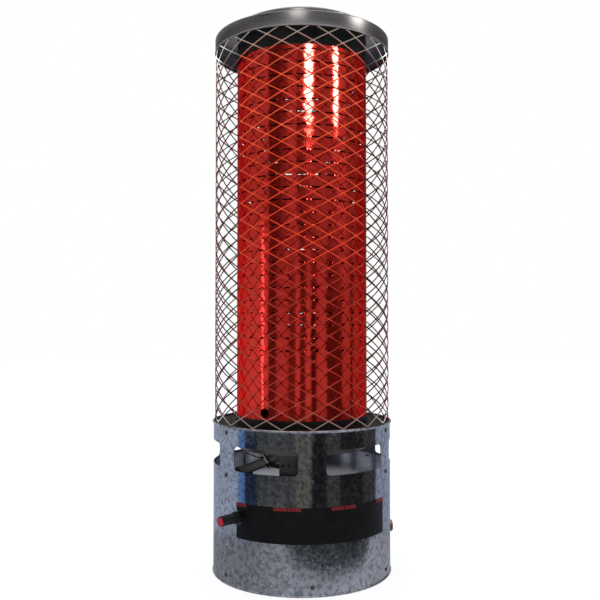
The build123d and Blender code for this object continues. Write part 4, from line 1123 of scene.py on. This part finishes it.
# ---------- pieces
ZINC = galvanized()
ENAMEL = black_enamel()
SCREW = plain_metal("zinc_plated", (0.13, 0.13, 0.14), (0.32, 0.32, 0.34), (0.16, 0.30), scale=200.0)
TUBE = painted_glow_tube()
# Painted shade: the tube's inner face and its slot edges are the same sheet, painted dark red-brown.
TUBE_SHADE = plain_metal("tube_inside_painted_shade", (0.03, 0.010, 0.008), (0.10, 0.022, 0.016), (0.4, 0.6), scale=60.0)
FACE = guard_steel()
# Painted shade: the strands' cut edges and inner faces are the same steel, painted near black and matt.
EDGE = plain_metal("guard_edge_painted_shade", (0.012, 0.011, 0.012), (0.030, 0.029, 0.030), (0.60, 0.80), 0.0, 70.0)
CAP = brushed_steel("brushed_band", round_brushing)
LID = brushed_steel("brushed_sheet", straight_brushing)
# Painted shade: the inside of the cap's band is the same steel, painted dark and bluish.
CAP_SHADE = plain_metal("cap_underside_shade", (0.13, 0.14, 0.19), (0.22, 0.23, 0.30), (0.18, 0.32))
BLACK = plastic("black_plastic", (0.008, 0.008, 0.010), (0.022, 0.022, 0.026), (0.28, 0.42))
RED = plastic("red_plastic", (0.42, 0.012, 0.016), (0.56, 0.02, 0.028), (0.16, 0.28))
FILM = plastic("label_film", (0.0035, 0.0035, 0.004), (0.008, 0.008, 0.009), (0.30, 0.42), 0.22)
BRASS = plain_metal("brass", (0.30, 0.24, 0.14), (0.48, 0.40, 0.25), (0.26, 0.44), scale=90.0)
STEEL = plain_metal("burner_steel", (0.20, 0.20, 0.21), (0.38, 0.38, 0.40), (0.35, 0.55))
PIPE = plain_metal("pipe_metal", (0.55, 0.55, 0.56), (0.74, 0.74, 0.75), (0.25, 0.4))

drum_shell([ZINC, shaded_zinc_inside()])
wall_screws([SCREW])
tube = heated_sheet([TUBE, TUBE_SHADE])
guard = guard_sheet([FACE, EDGE])
skirt = cap_skirt([CAP, CAP_SHADE])
lid = raised_lid([LID])
centre_bolt([SCREW])
button_barrel([BLACK])
button_cap([RED])
inlet_body([BRASS])
label_joins([FILM])

# The other nodes keep their packed form. Some share a material, and the rest have one of their own.
SHARED = {
    ZINC: ("bottom_pan",),
    ENAMEL: ("deck_pan", "foot_ring", "tube_cap"),
    LID: ("cap_plate",),
    FILM: ("label_band",),
    BRASS: ("gas_jet", "barrel_nut", "valve_body", "magnet_cap", "lead_nut", "inlet_nut"),
    SCREW: ("lid_spacer", "centre_nut", "reset_stem", "reset_spring"),
    STEEL: ("burner_stand", "mixer_saddle"),
    PIPE: ("inlet_pipe", "feed_pipe"),
}
OWN_METAL = {
    "burner_tray": ("tray_sheet", (0.55, 0.57, 0.66), (0.74, 0.76, 0.86), (0.12, 0.26), 1.0, 18.0),
    "burner_drum": ("drum_sheet", (0.18, 0.15, 0.14), (0.34, 0.30, 0.29), (0.35, 0.55), 0.8, 18.0),
    "flame_spreader": ("spreader_steel", (0.16, 0.12, 0.10), (0.30, 0.24, 0.20), (0.4, 0.6)),
    "control_bracket": ("bracket_steel", (0.030, 0.024, 0.022), (0.07, 0.055, 0.05), (0.45, 0.65), 0.3),
    "thermocouple_clamp": ("clamp_steel", (0.04, 0.035, 0.03), (0.10, 0.08, 0.07), (0.4, 0.6), 0.5),
    "mixer_tube": ("mixer_steel", (0.20, 0.18, 0.17), (0.34, 0.31, 0.29), (0.30, 0.50), 0.4),
    "burner_head": ("burner_iron", (0.035, 0.03, 0.03), (0.10, 0.09, 0.085), (0.6, 0.85), 0.6, 70.0, 0.3),
    "thermocouple": ("sensor_metal", (0.62, 0.61, 0.60), (0.85, 0.84, 0.82), (0.2, 0.35)),
}
OWN_PLASTIC = {
    "thermocouple_lead": ("lead_sleeve", (0.012, 0.016, 0.035), (0.03, 0.035, 0.07), (0.4, 0.6)),
    "label_tabs": ("label_red", (0.16, 0.008, 0.011), (0.24, 0.012, 0.017), (0.30, 0.45), 0.25),
}
painted = {node: material for material, nodes in SHARED.items() for node in nodes}
painted |= {node: plain_metal(*look) for node, look in OWN_METAL.items()}
painted |= {node: plastic(*look) for node, look in OWN_PLASTIC.items()}
for node, material in painted.items():
    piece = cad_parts[node]
    piece.data.materials.clear()
    piece.data.materials.append(material)

camera()
room()
floor()
window_fill([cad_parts[node] for node in ("mixer_tube", "control_bracket")])
tube_lights(tube)
cap_lights([skirt, lid])
guard_lights(guard)
